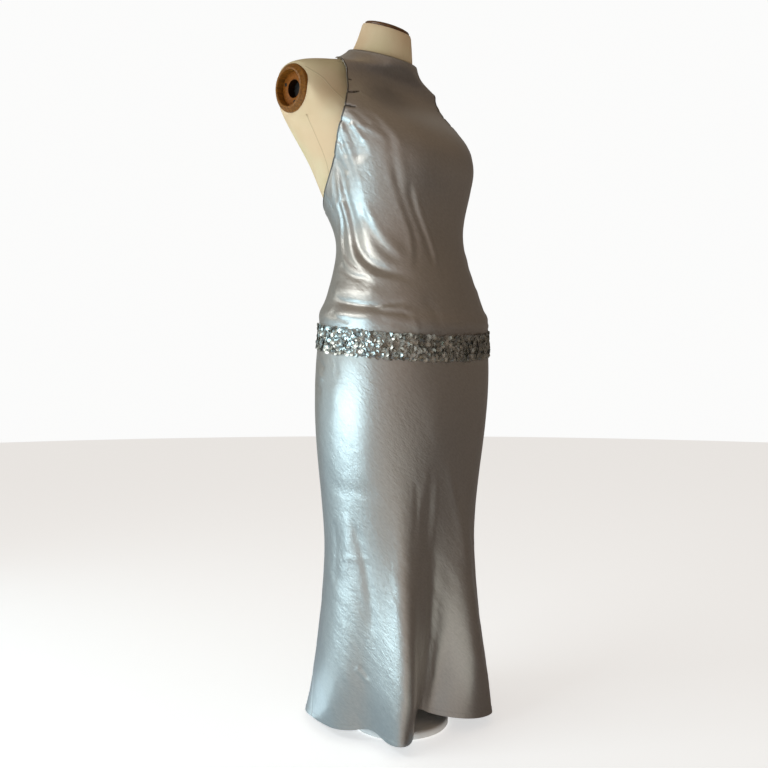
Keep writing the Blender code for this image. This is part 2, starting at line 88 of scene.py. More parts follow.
BLOUSE_ABOVE = 0.022
BLOUSE_TALL = 0.02
# the tucks' painted shade is at its darkest from this depth on
TUCK_FULL = 0.0022          # a tuck this deep is at its darkest

FORM_TOP = 1.395
FORM_BOTTOM = 0.575
POLE_BORE = 0.0128
ARM_CENTRE = (0.201, 0.098, 1.241)
ARM_TURN_DOWN = 6.0
ARM_RING_RADIUS = 0.045
ARM_RING_INNER = 0.033
ARM_RING_PROUD = 0.009
ARM_SOCKET_SUNK = 0.0055
ARM_HOLE_RADIUS = 0.0165
ARM_POCKET_DEPTH = 0.024
ARM_SCREW_CIRCLE = 0.0248
CLEARANCE = 0.0003          # between turned parts that sit in each other
HANDS = ((1, "left"), (-1, "right"))

# outlines of the form and of the gown; lean is in degrees, and the lengths are metres
Section = namedtuple("Section", "height front back half power lean")
FORM_SECTIONS = [Section(*row) for row in (
    (0.575, -0.122, 0.112, 0.16, 2.2, 0),
    (0.655, -0.13, 0.124, 0.171, 2.2, 0),
    (0.735, -0.13, 0.127, 0.175, 2.2, 0),
    (0.815, -0.12, 0.114, 0.162, 2.2, 0),
    (0.885, -0.102, 0.101, 0.139, 2.1, 0),
    (0.96, -0.083, 0.105, 0.124, 2.1, 0),
    (1.035, -0.086, 0.138, 0.142, 2.2, 0),
    (1.115, -0.104, 0.171, 0.163, 2.4, 0),
    (1.175, -0.064, 0.189, 0.191, 2.5, 0),
    (1.225, -0.012, 0.194, 0.211, 2.6, 2),
    (1.262, 0.014, 0.186, 0.213, 2.6, 4),
    (1.288, 0.02, 0.172, 0.205, 2.4, 6),
    (1.305, 0.014, 0.155, 0.162, 2.2, 9),
    (1.315, 0.004, 0.14, 0.112, 2, 12),
    (1.328, -0.007, 0.123, 0.076, 2, 16),
    (1.347, -0.012, 0.108, 0.063, 2, 19),
    (1.395, -0.014, 0.09, 0.05, 2, 21),
)]
GOWN_SECTIONS = [Section(*row) for row in (
    (0.005, -0.17, 0.185, 0.19, 2.1, 0),
    (0.075, -0.163, 0.171, 0.184, 2.1, 0),
    (0.175, -0.15, 0.153, 0.173, 2.1, 0),
    (0.275, -0.139, 0.139, 0.165, 2.1, 0),
    (0.375, -0.134, 0.134, 0.162, 2.1, 0),
    (0.475, -0.14, 0.14, 0.17, 2.1, 0),
    (0.575, -0.152, 0.146, 0.182, 2.1, 0),
    (0.675, -0.16, 0.144, 0.188, 2.1, 0),
    (0.765, -0.158, 0.135, 0.184, 2.1, 0),
    (0.835, -0.147, 0.122, 0.171, 2.1, 0),
    (0.9, -0.126, 0.111, 0.15, 2.1, 0),
    (0.96, -0.113, 0.114, 0.139, 2.1, 0),
    (1.035, -0.116, 0.146, 0.155, 2.2, 0),
    (1.115, -0.123, 0.178, 0.17, 2.4, 0),
    (1.175, -0.082, 0.195, 0.198, 2.5, 0),
    (1.225, -0.03, 0.2, 0.218, 2.6, 2),
    (1.262, 0, 0.192, 0.22, 2.6, 4),
    (1.288, 0.007, 0.178, 0.212, 2.4, 6),
    (1.305, 0, 0.163, 0.171, 2.2, 9),
    (1.315, -0.01, 0.148, 0.123, 2, 12),
    (1.328, -0.018, 0.131, 0.086, 2, 16),
    (1.347, -0.02, 0.115, 0.07, 2, 19),
)]
# the armhole's edge, from the side-back seam up to the neck
Edge = namedtuple("Edge", "height angle")
ARMHOLE = [Edge(*row) for row in (
    (1.018, 128), (1.029, 115), (1.045, 106), (1.068, 97), (1.096, 89), (1.132, 79), (1.164, 69.5),
    (1.19, 63.5), (1.216, 60), (1.242, 58), (1.268, 58.8), (1.287, 60.8), (1.3, 65), (1.308, 71), (1.314, 80),
    (1.3185, 92), (1.321, 104), (1.323, 110), (1.339, 110),
)]
# how far the skirt stands out at each angle, at four heights, and how far its hem lifts, in millimetres
Flute = namedtuple("Flute", "angle knee calf ankle hem rise")
FLUTES = [Flute(*row) for row in (
    (-172, 0, 0, 0, 0, 3),
    (-141, 0, 0, 1, 4, 4),
    (-122, 0, -1, -6, -20, 8),
    (-100, 0, -4, -14, -34, 11),
    (-84, -2, -10, -26, -52, 14),
    (-73, -5, -15, -32, -57, 20),
    (-62, -4, -11, -24, -48, 16),
    (-53, 0, -1, -7, -22, 12),
    (-46, 4, 8, 6, -8, 12),
    (-39, 2, 5, 2, -20, 12),
    (-31, -7, -18, -44, -72, 13),
    (-24, -13, -26, -60, -92, 26),
    (-17, -14, -35, -66, -98, 36),
    (-7, -10, -32, -66, -96, 32),
    (4, -3, -20, -58, -84, 24),
    (17, 5, 5, -10, -36, 18),
    (32, 1, 3, 3, -6, 11),
    (46, 0, 0, 2, 5, 6),
    (70, -2, -6, -12, -16, 6),
    (95, 2, 5, 8, 10, 2),
    (118, -2, -8, -16, -24, 6),
    (140, 0, 2, 6, 10, 3),
    (162, -2, -6, -12, -20, 5),
)]
FLUTE_STATIONS = (-0.3, 0.0, 0.3, 0.58, 0.83, 1.0)

# ---------------------------------------------------------------- folds placed one by one
# rise, wide and wide_end are millimetres; a path is (angle, height) pairs on the gown.
Fold = namedtuple("Fold", "kind rise wide wide_end path")


def ridge(rise, wide, wide_end, *path):
    """A fold that stands proud, or sinks where its rise is negative."""
    return Fold("ridge", rise, wide, wide_end, path)


def flank(rise, wide, wide_end, *path):
    """A step that rises from left to right along a path that runs down."""
    return Fold("flank", rise, wide, wide_end, path)


BODICE_FOLDS = [
    # tucks along the armhole's edge
    ridge(-2.6, 2, 1.4, (-59, 1.26), (-55, 1.26)),
    ridge(-3.6, 2.2, 1.6, (-61.5, 1.2225), (-56, 1.224), (-51, 1.233)),
    ridge(-3.4, 2.3, 1.6, (-65.5, 1.1895), (-61, 1.1862), (-57.5, 1.1832)),
    ridge(-2.4, 3.2, 3, (-72.5, 1.162), (-68, 1.157), (-65.5, 1.15)),
    ridge(-2.2, 3, 2.8, (-81, 1.1345), (-78, 1.124), (-76, 1.116)),
    ridge(-2.2, 3, 3, (-88.5, 1.111), (-83, 1.088), (-79, 1.064)),
    ridge(-1.8, 1.8, 1.4, (-108, 1.043), (-104, 1.024), (-101, 1.005)),
    # the small puffs between them
    ridge(1.4, 5, 6, (-58, 1.23), (-50, 1.224), (-44, 1.216)),
    ridge(0.8, 4, 4, (-58, 1.244), (-53, 1.246)),
    # the broad fold from the third tuck, down the side of the bust
    flank(1.5, 8, 13, (-58, 1.179), (-51, 1.172), (-47, 1.148), (-44, 1.128), (-44, 1.1), (-43, 1.068),
          (-41, 1.016)),
    flank(-1.3, 6, 8, (-63, 1.179), (-60, 1.162), (-57, 1.142)),
    flank(1.2, 6, 9, (-64, 1.151), (-56, 1.132), (-48, 1.116)),
    flank(1, 5, 7, (-68, 1.156), (-65, 1.132), (-63, 1.116), (-61, 1.088)),
    # narrow gathers that fan out of the lower tucks
    ridge(1.1, 2.6, 3.4, (-69.8, 1.1565), (-73.8, 1.1345), (-73.8, 1.1165), (-72.5, 1.0985)),
    ridge(1.2, 3, 3.6, (-65.8, 1.1555), (-63.8, 1.1335), (-62.5, 1.1165)),
    ridge(-1.3, 2.6, 3.6, (-69, 1.154), (-69.2, 1.1325), (-68.5, 1.116)),
    ridge(1.1, 2.4, 3.2, (-78, 1.1325), (-80, 1.12), (-79, 1.1025)),
    ridge(-1.1, 2.4, 3.2, (-76.5, 1.1295), (-77.8, 1.111), (-76.2, 1.0935)),
    ridge(-1.3, 3, 4.2, (-86, 1.105), (-86.2, 1.0895), (-84.2, 1.069), (-83, 1.0475)),
    ridge(1, 2.4, 3.2, (-83, 1.094), (-81.8, 1.077), (-79.2, 1.0565)),
    # the long trough that sweeps from the armhole to the front of the hip, and the ribbon beside it
    ridge(-3.4, 8, 14, (-86, 1.105), (-84, 1.07), (-84, 1.03), (-82.5, 0.985), (-82, 0.94), (-74, 0.902),
          (-56, 0.878), (-38, 0.866)),
    flank(-3.6, 7, 11, (-85, 1.09), (-86, 1.05), (-87, 1.02), (-88, 0.985), (-88, 0.944), (-80, 0.905),
          (-68, 0.882), (-54, 0.871), (-40, 0.863)),
    flank(1.2, 5, 12, (-78, 1.13), (-76, 1.1), (-73.5, 1.06), (-73, 1.02), (-71, 0.985), (-66, 0.96)),
    flank(2.4, 12, 12, (-73, 1.01), (-70, 0.975), (-64, 0.945), (-56, 0.922), (-45, 0.9)),
    # the narrow ribbon nearest the back
    flank(-1.8, 6, 7, (-89, 1.09), (-94, 1.04), (-96, 0.985), (-101, 0.95), (-97, 0.92), (-86, 0.894),
          (-74, 0.876), (-60, 0.868)),
    ridge(-2.4, 6, 6, (-101, 0.905), (-93, 0.886), (-83, 0.873), (-70, 0.866)),
    # the valley under the third tuck
    ridge(-3, 4, 9, (-71.5, 1.165), (-68, 1.148), (-68, 1.12), (-68, 1.08)),
    # soft folds down the front of the waist
    flank(-1.5, 8, 10, (-49, 1.09), (-46, 1.04), (-42.5, 1), (-37, 0.95), (-38, 0.905), (-40, 0.875)),
    flank(2.3, 8, 10, (-34, 1.05), (-32, 1.02), (-26, 0.975), (-19, 0.925), (-18, 0.885)),
    ridge(-0.8, 12, 16, (-18, 1.06), (-10, 1), (-6, 0.94)),
    # puffs and creases where the bodice blouses over the band
    ridge(2.6, 14, 11, (-104, 0.854), (-88, 0.848), (-77, 0.842), (-60, 0.842)),
    ridge(-4, 6, 5, (-97, 0.84), (-93, 0.83), (-84, 0.822), (-71, 0.816), (-58, 0.819), (-45, 0.828)),
    ridge(-2.8, 4, 4, (-71, 0.816), (-59, 0.806), (-47, 0.801), (-39, 0.792)),
    ridge(1.2, 6, 4, (-66, 0.813), (-54, 0.812), (-42, 0.808)),
    ridge(2, 9, 8, (-94, 0.806), (-78, 0.799), (-62, 0.795)),
    ridge(-2, 5, 4, (-98, 0.812), (-88, 0.796), (-78, 0.788)),
    ridge(-1.4, 4, 5, (-64, 0.79), (-52, 0.781), (-44, 0.774)),
    ridge(1.2, 5, 4, (-44, 0.806), (-41, 0.786), (-38, 0.768)),
    ridge(-1, 7, 8, (-34, 0.834), (-26, 0.804), (-22, 0.772)),
    ridge(0.8, 9, 10, (-24, 0.824), (-12, 0.812), (0, 0.808)),
    # faint drag lines over the chest
    ridge(-0.5, 7, 9, (-60, 1.31), (-44, 1.292), (-28, 1.274)),
    ridge(0.5, 9, 14, (-34, 1.328), (-24, 1.318), (-12, 1.314)),
    ridge(-0.7, 12, 16, (-46, 1.204), (-34, 1.15), (-28, 1.09)),
    ridge(0.5, 11, 14, (8, 1.26), (20, 1.2), (26, 1.15)),
    ridge(-0.6, 11, 14, (18, 1.08), (12, 1), (10, 0.93)),
    ridge(-2.4, 1.6, 1.2, (60, 1.248), (56, 1.246), (52, 1.244)),
]
LEFT_FOLDS = [
    ridge(1.4, 5, 7, (112, 0.996), (122, 0.96), (127, 0.93)),
    ridge(-1.6, 5, 6, (70, 0.89), (92, 0.862), (116, 0.856)),
]
BACK_FOLDS = [
    ridge(3.2, 8, 8, (136, 0.85), (158, 0.836), (184, 0.842), (206, 0.834)),
    ridge(-3.6, 4, 3, (130, 0.832), (150, 0.818), (172, 0.812), (190, 0.818)),
    ridge(-2.8, 3.5, 3, (226, 0.84), (208, 0.824), (192, 0.818)),
    ridge(2.4, 6, 6, (168, 0.802), (190, 0.808), (214, 0.802)),
    ridge(-2.2, 3, 3, (142, 0.802), (160, 0.794), (176, 0.798)),
    flank(2.2, 8, 10, (136, 0.99), (146, 0.93), (162, 0.886), (178, 0.87)),
    flank(-2.2, 8, 10, (224, 0.99), (214, 0.936), (200, 0.89), (184, 0.872)),
    ridge(-1.2, 6, 9, (131, 0.95), (140, 0.906), (152, 0.87)),
    ridge(-1.2, 6, 9, (229, 0.95), (220, 0.906), (210, 0.874)),
]
SKIRT_FOLDS = [
    # fine ridges that fan out below the thigh, over the front flute
    ridge(1, 6, 8, (-29, 0.532), (-29, 0.492), (-32, 0.444), (-33, 0.376), (-34, 0.28)),
    ridge(-0.9, 4, 6, (-37, 0.5), (-35, 0.444), (-37, 0.376)),
    ridge(-0.6, 4, 6, (-25, 0.49), (-24, 0.43), (-25, 0.37)),
    ridge(0.9, 6, 8, (-21, 0.52), (-19, 0.48), (-18, 0.416), (-19, 0.356)),
    ridge(1.8, 8, 10, (-13, 0.54), (-4, 0.488), (5, 0.436), (12, 0.384), (17, 0.308)),
    # the soft break across the right thigh, and what fans out under it
    ridge(-0.9, 15, 14, (-99, 0.486), (-84, 0.48), (-73, 0.476), (-57, 0.482)),
    ridge(-1.4, 7, 9, (-80, 0.43), (-74, 0.352), (-69, 0.28), (-66, 0.204)),
    ridge(1.2, 8, 10, (-86, 0.44), (-85, 0.376), (-90, 0.308)),
    ridge(-1, 6, 8, (-96, 0.42), (-96, 0.35), (-99, 0.28)),
    ridge(0.5, 5, 5, (-92, 0.347), (-80, 0.352), (-68, 0.353)),
    ridge(1.6, 3, 2.4, (-80, 0.15), (-74, 0.136), (-69, 0.122)),
    ridge(-1, 3, 2.4, (-77, 0.154), (-72, 0.142), (-68, 0.13)),
    # puckers in the seam, just under the band
    ridge(-1.8, 3, 5, (-116, 0.724), (-108, 0.718), (-99, 0.702)),
    ridge(1.6, 3, 5, (-116, 0.706), (-108, 0.696), (-100, 0.68)),
    ridge(-1.4, 3, 5, (-118, 0.686), (-110, 0.674), (-103, 0.656)),
    ridge(-0.9, 2.5, 4, (-91, 0.728), (-89, 0.71), (-87, 0.69)),
    ridge(1, 12, 18, (-88, 0.69), (-92, 0.6), (-98, 0.5)),
]
HIDDEN_SKIRT_FOLDS = [
    ridge(-1.8, 3, 5, (116, 0.726), (108, 0.718), (100, 0.702)),
    ridge(1.5, 3, 5, (116, 0.706), (109, 0.694), (102, 0.678)),
    ridge(-1.4, 8, 8, (52, 0.486), (66, 0.478), (82, 0.482), (96, 0.476)),
    ridge(1.4, 7, 9, (70, 0.44), (74, 0.36), (72, 0.27)),
    ridge(-1.2, 6, 9, (84, 0.43), (90, 0.34), (88, 0.25)),
    ridge(1.4, 5, 8, (158, 0.52), (163, 0.44), (166, 0.34), (164, 0.24)),
    ridge(-1.4, 5, 8, (176, 0.53), (174, 0.44), (177, 0.34)),
    ridge(1.4, 5, 9, (204, 0.51), (199, 0.42), (201, 0.3)),
    ridge(-1.8, 9, 9, (150, 0.58), (172, 0.566), (196, 0.572), (212, 0.564)),
    ridge(-1.2, 3, 4, (171, 0.756), (176, 0.74), (182, 0.72)),
]

# the canvas form's seams, (angle, height) pairs on its left side
Seam = namedtuple("Seam", "name path")
CENTRE_HEIGHTS = (1.394, 1.3, 1.1, 0.9, 0.7, 0.577)
SHOULDER_SEAM = ((81, 1.282), (75, 1.2685), (71.2, 1.2595), (67.5, 1.243), (64.5, 1.225), (60, 1.2), (54, 1.16))
SIDE_SEAM = ((88, 1.1845), (91.5, 1.158), (94.5, 1.1335), (96.2, 1.1005), (96.5, 1.04), (94, 0.95),
             (92, 0.8), (91, 0.65), (91, 0.577))
FORM_SEAMS = [Seam(name, [(angle, height) for height in CENTRE_HEIGHTS])
              for name, angle in (("centre_front", 0), ("centre_back", 180))]
FORM_SEAMS += [Seam(name + hand, [(turn * angle, height) for angle, height in path])
               for name, path in (("shoulder_", SHOULDER_SEAM), ("side_", SIDE_SEAM))
               for turn, hand in reversed(HANDS)]


# ---------------------------------------------------------------- curves
def spline(knots, values, period=None):
    """A smooth curve through the rows of a table; with a period it closes on itself."""
    knots = np.asarray(knots, float)
    values = np.asarray(values, float)
    wrap = 4
    if period:
        knots = np.concatenate([knots[-wrap:] - period, knots, knots[:wrap] + period])
        values = np.concatenate([values[-wrap:], values, values[:wrap]])
    count = len(knots)
    step = np.diff(knots)
    slope = np.diff(values) / step
    matrix = np.eye(count)
    right = np.zeros(count)
    for i in range(1, count - 1):
        matrix[i, i - 1:i + 2] = (step[i - 1], 2 * (step[i - 1] + step[i]), step[i])
        right[i] = 3 * (slope[i] - slope[i - 1])
    curve = np.linalg.solve(matrix, right)

    def value(at):
        at = np.asarray(at, float)
        if period:
            at = (at - knots[wrap]) % period + knots[wrap]
        k = np.clip(np.searchsorted(knots, at) - 1, 0, count - 2)
        d = at - knots[k]
        first = slope[k] - step[k] * (2 * curve[k] + curve[k + 1]) / 3
        return values[k] + d * (first + d * (curve[k] + d * (curve[k + 1] - curve[k]) / (3 * step[k])))

    return value


def smooth(t):
    """0 below 0, 1 above 1, with no corner."""
    t = np.clip(t, 0.0, 1.0)
    return t * t * (3 - 2 * t)


def section_curves(sections):
    """One smooth curve over the height for each column of a section table."""
    heights = [row.height for row in sections]
    return {name: spline(heights, [getattr(row, name) for row in sections])
            for name in Section._fields[1:]}


FORM_CURVES = section_curves(FORM_SECTIONS)
GOWN_CURVES = section_curves(GOWN_SECTIONS)
FLUTE_ANGLES = [row.angle for row in FLUTES]
FLUTE_CURVES = [spline(FLUTE_ANGLES, [getattr(row, name) / 1000 for row in FLUTES], 360)
                for name in ("knee", "calf", "ankle", "hem")]
# each curve is fully there at one of the last four stations, and gone at the others
FLUTE_FADES = [spline(FLUTE_STATIONS, [float(i == k) for i in range(len(FLUTE_STATIONS))])
               for k in (2, 3, 4, 5)]
HEM_RISE = spline(FLUTE_ANGLES, [row.rise / 1000 for row in FLUTES], 360)
ARMHOLE_ANGLE = spline(range(len(ARMHOLE)), [row.angle for row in ARMHOLE])
ARMHOLE_HEIGHT = spline(range(len(ARMHOLE)), [row.height for row in ARMHOLE])


def skin_radius(curves, angle, height):
    """Distance of a skin from its section's middle, with what a point there needs besides."""
    angle = np.radians(np.asarray(angle, float))
    front, back, half, power, lean = (curves[name](height) for name in Section._fields[1:])
    side, ahead = np.sin(angle), np.cos(angle)
    deep = (back - front) / 2
    radius = (np.abs(side / half) ** power + np.abs(ahead / deep) ** power) ** (-1 / power)
    return radius, side, ahead, (front + back) / 2, np.radians(lean)


def skin_point(curves, angle, height, out=0.0):
    """A point of a skin: the section's outline at that height, moved out along its radius."""
    height = np.asarray(height, float)
    radius, side, ahead, middle, lean = skin_radius(curves, angle, height)
    radius = radius + out
    y = -radius * ahead
    return np.stack([radius * side, middle + y * np.cos(lean), height + y * np.sin(lean)], -1)


def form_point(angle, height, out=0.0):
    """A point of the canvas form."""
    return skin_point(FORM_CURVES, angle, height, out)


def hem_height(angle):
    """Height of the skirt's lower edge."""
    return HEM_HEIGHT + HEM_RISE(angle)


def band_middle(angle):
    """Height of the sequin band's middle: it dips towards the front."""
    away = (1 - np.cos(np.radians(angle - BAND_LOW_ANGLE))) / 2
    return BAND_LOW + BAND_RISE * away


def flute_out(angle, height):
    """How far the skirt's flutes stand out: each height's curve, faded smoothly into the next."""
    drop = np.clip((KNEE_HEIGHT - height) / (KNEE_HEIGHT - hem_height(angle)), FLUTE_STATIONS[0], 1.0)
    return sum(fade(drop) * curve(angle) for fade, curve in zip(FLUTE_FADES, FLUTE_CURVES))


def blouse_out(angle, height):
    """The bodice blouses out over the sequin band."""
    above = height - band_middle(angle) - BAND_TALL / 2
    return BLOUSE_OUT * np.exp(-((above - BLOUSE_ABOVE) / BLOUSE_TALL) ** 2)


def armhole_edge(height):
    """Angle of the armhole's edge at a height above its lowest point."""
    steps = np.linspace(0, len(ARMHOLE) - 1, 800)
    heights = np.maximum.accumulate(ARMHOLE_HEIGHT(steps))
    return np.interp(height, heights, ARMHOLE_ANGLE(steps))


def back_edge(angle):
    """Height of the low back's edge, from the armholes down to the centre back."""
    towards_back = np.clip((180 - np.abs(180 - angle) - SEAM_ANGLE) / (180 - SEAM_ANGLE), 0.0, 1.0)
    steep = np.sin(towards_back * pi / 2)
    return ARMHOLE_LOW + (BACK_LOW - ARMHOLE_LOW) * (0.25 * steep + 0.75 * steep * steep)


# ---------------------------------------------------------------- folds
def run_along(steps):
    """How far along a path each of its points is, from the lengths of its steps."""
    return np.concatenate([[0], np.cumsum(steps)])


def evenly(knots, run, count):
    """Evenly spaced points on a smooth path through two or more knots."""
    at = np.linspace(0, run[-1], count)
    if len(knots) < 3:
        return np.stack([np.interp(at, run, column) for column in knots.T], -1)
    return np.stack([spline(run, column)(at) for column in knots.T], -1)


def fold_path(path, count=48):
    """A fold's path as closely spaced points of the unrolled cloth, in metres."""
    knots = np.array([(BODY_RADIUS * radians(a), h) for a, h in path])
    return evenly(knots, run_along(np.hypot(*np.diff(knots, axis=0).T)), count)


def fold_out(folds, angle, height):
    """How far a table of folds moves the cloth out, at each point of a grid."""
    shape = np.broadcast(angle, height).shape
    flat = np.stack([np.broadcast_to(BODY_RADIUS * np.radians(angle), shape).ravel(),
                     np.broadcast_to(height, shape).ravel()], -1)
    out = np.zeros(len(flat))
    for fold in folds:
        line = fold_path(fold.path)
        reach = 3.0 * max(fold.wide, fold.wide_end) / 1000
        near = np.nonzero(np.all((flat > line.min(0) - reach) & (flat < line.max(0) + reach), axis=1))[0]
        if not len(near):
            continue
        gap = flat[near][:, None, :] - line[None, :, :]
        k = np.argmin((gap ** 2).sum(-1), axis=1)
        tangent = np.gradient(line, axis=0)
        step = np.hypot(*tangent.T)
        tangent = tangent / step[:, None]
        at = gap[np.arange(len(near)), k]
        along = (at * tangent[k]).sum(-1)
        across = at[:, 1] * tangent[k][:, 0] - at[:, 0] * tangent[k][:, 1]
        share = (k + np.clip(along / step[k], -0.5, 0.5)) / (len(line) - 1)
        past = np.where((k == 0) | (k == len(line) - 1), np.abs(along), 0.0)
        wide = (fold.wide + (fold.wide_end - fold.wide) * np.clip(share, 0, 1)) / 1000
        ends = smooth((share + 0.02) * 5) * smooth((1.02 - share) * 4)
        t = across / wide
        bar = np.exp(-t * t) if fold.kind == "ridge" else t * np.exp(0.5 - t * t)
        out[near] += fold.rise / 1000 * ends * bar * np.exp(-(past / wide) ** 2)
    return out.reshape(shape)


def mirrored(folds, jitter, seed):
    """The same folds on the other side of the gown, each a little changed."""
    chance = random.Random(seed)
    made = []
    for fold in folds:
        scale = chance.uniform(0.6, 1.0)
        shift = chance.uniform(-jitter, jitter)
        path = tuple((-a + chance.uniform(-2.0, 2.0), h + shift) for a, h in fold.path)
        rise = -fold.rise if fold.kind == "flank" else fold.rise
        made.append(Fold(fold.kind, rise * scale, fold.wide, fold.wide_end, path))
    return made


def ripples(seed, count, shortest, longest, lean):
    """A seeded field of soft waves over the unrolled cloth, about -1 to 1."""
    chance = random.Random(seed)
    waves = []
    for _ in range(count):
        length = chance.uniform(shortest, longest)
        turn = radians(lean + chance.uniform(-26, 26))
        waves.append((cos(turn) * tau / length, sin(turn) * tau / length,
                      chance.uniform(0, tau)))

    def value(angle, height):
        around = BODY_RADIUS * np.radians(angle)
        return sum(np.sin(a * around + b * height + c) for a, b, c in waves) / sqrt(count)

    return value


# soft waves and fine ones, the tucks of both armholes that get painted shade, and the right side's folds copied to
# the left
SOFT_WAVES = ripples(11, 14, 0.03, 0.09, 20)
FINE_WAVES = ripples(23, 18, 0.009, 0.022, 38)
SHADED_TUCKS = BODICE_FOLDS[:3]
SHADED_TUCKS = SHADED_TUCKS + mirrored(SHADED_TUCKS, 0.0, 2)
LEFT_COPY = mirrored([f for f in BODICE_FOLDS if min(abs(a) for a, _ in f.path) > 38], 0.006, 5)


def both_ways(angle):
    """Angles as -180 to 180, and as 0 to 360."""
    return np.where(angle > 180, angle - 360, angle), np.where(angle < 0, angle + 360, angle)


def seam_sunk(around):
    """How the side-back seams sink into the cloth."""
    return -SEAM_DEEP * np.exp(-((np.abs(around) - SEAM_ANGLE) * BODY_RADIUS * pi / 180 / SEAM_WIDE) ** 2)


def clear_of_form(angle, height, out):
    """Keeps the cloth's inner face off the canvas."""
    gown = skin_radius(GOWN_CURVES, angle, height)
    form = skin_radius(FORM_CURVES, angle, height)
    inside = np.where((height < FORM_BOTTOM) | (height > FORM_TOP), -1.0,
                      form[0] - gown[0] + np.abs(gown[3] - form[3]) * 0.6 + FORM_CLEARANCE)
    return np.maximum(out, np.minimum(inside, 0.0))


def bodice_point(angle, height, out=0.0):
    """A point of the bodice's outer face, with its folds."""
    angle, height = np.broadcast_arrays(np.asarray(angle, float), np.asarray(height, float))
    over_band = smooth((height - band_middle(angle) - BAND_TALL / 2) / 0.01)
    around, from_front = both_ways(angle)
    folds = fold_out(BODICE_FOLDS, around, height)
    folds = folds + fold_out(LEFT_COPY, around, height) * smooth((around - 38) / 14)
    folds = folds + fold_out(LEFT_FOLDS, around, height)
    folds = folds + fold_out(BACK_FOLDS, from_front, height)
    folds = folds + 0.0002 * SOFT_WAVES(angle, height) + 0.00003 * FINE_WAVES(angle, height)
    moved = flute_out(angle, height) + blouse_out(angle, height) + (folds + seam_sunk(around)) * over_band
    return skin_point(GOWN_CURVES, angle, height, clear_of_form(angle, height, moved) + out)


def skirt_point(angle, height, out=0.0):
    """A point of the skirt's outer face, with its folds."""
    angle, height = np.broadcast_arrays(np.asarray(angle, float), np.asarray(height, float))
    under_band = smooth((band_middle(angle) - BAND_TALL / 2 - height) / 0.012)
    around, from_front = both_ways(angle)
    folds = fold_out(SKIRT_FOLDS, around, height) + fold_out(HIDDEN_SKIRT_FOLDS, from_front, height)
    low = smooth((0.52 - height) / 0.25)
    folds = folds + (0.0001 + 0.00025 * low) * SOFT_WAVES(angle, height)
    folds = folds + (0.00002 + 0.00006 * low) * FINE_WAVES(angle, height)
    above_hem = height - hem_height(angle)
    hem = HEM_THICK * smooth(1 - (above_hem - HEM_DEPTH) / 0.001)
    moved = flute_out(angle, height) + (folds + seam_sunk(around)) * under_band + hem
    return skin_point(GOWN_CURVES, angle, height, clear_of_form(angle, height, moved) + out)


# ---------------------------------------------------------------- meshes from grids
def grid_normals(points):
    """Outward unit normals of a grid whose rows run up and whose columns run round."""
    normals = np.cross(np.gradient(points, axis=1), np.gradient(points, axis=0))
    return normals / np.maximum(np.linalg.norm(normals, axis=-1, keepdims=True), 1e-12)


def grid_lengths(points):
    """Each point's place on the flat cloth, in metres: across from the middle column, and up."""
    middle = points.shape[1] // 2
    steps = np.linalg.norm(np.diff(points, axis=1), axis=-1)
    across = np.concatenate([np.zeros((len(points), 1)), np.cumsum(steps, axis=1)], axis=1)
    across = across - across[:, middle:middle + 1]
    up = run_along(np.linalg.norm(np.diff(points[:, middle], axis=0), axis=-1))
    return np.stack([across, np.broadcast_to(up[:, None], across.shape)], -1)


def mesh_object(name, points, faces):
    """One object from its points and faces."""
    mesh = bpy.data.meshes.new(name)
    mesh.from_pydata(points, [], faces)
    made = bpy.data.objects.new(name, mesh)
    bpy.context.scene.collection.objects.link(made)
    return made


def point_values(piece, name, values):
    """Keeps one number at each point of a piece, which its finish reads."""
    piece.data.attributes.new(name, "FLOAT", "POINT").data.foreach_set("value", values)


def grid_object(name, points, closed=False):
    """One object from a grid of points, with a UV map in metres."""
    rows, columns = points.shape[:2]
    flat = grid_lengths(np.concatenate([points, points[:, :1]], axis=1) if closed else points)
    last = columns if closed else columns - 1
    faces, places = [], []
    for i in range(rows - 1):
        for j in range(last):
            k = (j + 1) % columns
            faces.append((i * columns + j, i * columns + k, (i + 1) * columns + k, (i + 1) * columns + j))
            places += (flat[i, j], flat[i, j + 1], flat[i + 1, j + 1], flat[i + 1, j])
    made = mesh_object(name, points.reshape(-1, 3).tolist(), faces)
    made.data.uv_layers.new(name="cloth").data.foreach_set("uv", np.array(places).ravel())
    made.data.shade_smooth()
    return made


def deselect():
    """Nothing selected, nothing in edit mode."""
    if bpy.context.object and bpy.context.object.mode != "OBJECT":
        bpy.ops.object.mode_set(mode="OBJECT")
    bpy.ops.object.select_all(action="DESELECT")


def alone(piece):
    """The piece as the only selected object, and the active one."""
    deselect()
    piece.select_set(True)
    bpy.context.view_layer.objects.active = piece


def close_up(piece, fill=True, turn_out=True):
    """Fills a piece's open ends and turns its faces outwards."""
    alone(piece)
    bpy.ops.object.mode_set(mode="EDIT")
    bpy.ops.mesh.select_all(action="SELECT")
    if fill:
        bpy.ops.mesh.fill_holes(sides=0)
    if turn_out:
        bpy.ops.mesh.normals_make_consistent(inside=False)
    bpy.ops.object.mode_set(mode="OBJECT")


def modify(piece, kind, **settings):
    """Adds one modifier and applies it."""
    alone(piece)
    modifier = piece.modifiers.new(kind.lower(), kind)
    for key, value in settings.items():
        setattr(modifier, key, value)
    if "FINISHED" not in bpy.ops.object.modifier_apply(modifier=modifier.name):
        raise RuntimeError("a modifier could not be applied to " + piece.name)


def shell(name, points, wall, closed=False, outwards=False, tucks=None):
    """A sheet of cloth with its thickness, inwards unless it lies on another."""
    made = grid_object(name, points, closed)
    # tucks holds each point's share of painted shade in the armhole tucks, which the satin reads
    if tucks is not None:
        point_values(made, "tuck", tucks.ravel())
    modify(made, "SOLIDIFY", thickness=wall, offset=1 if outwards else -1)
    return made


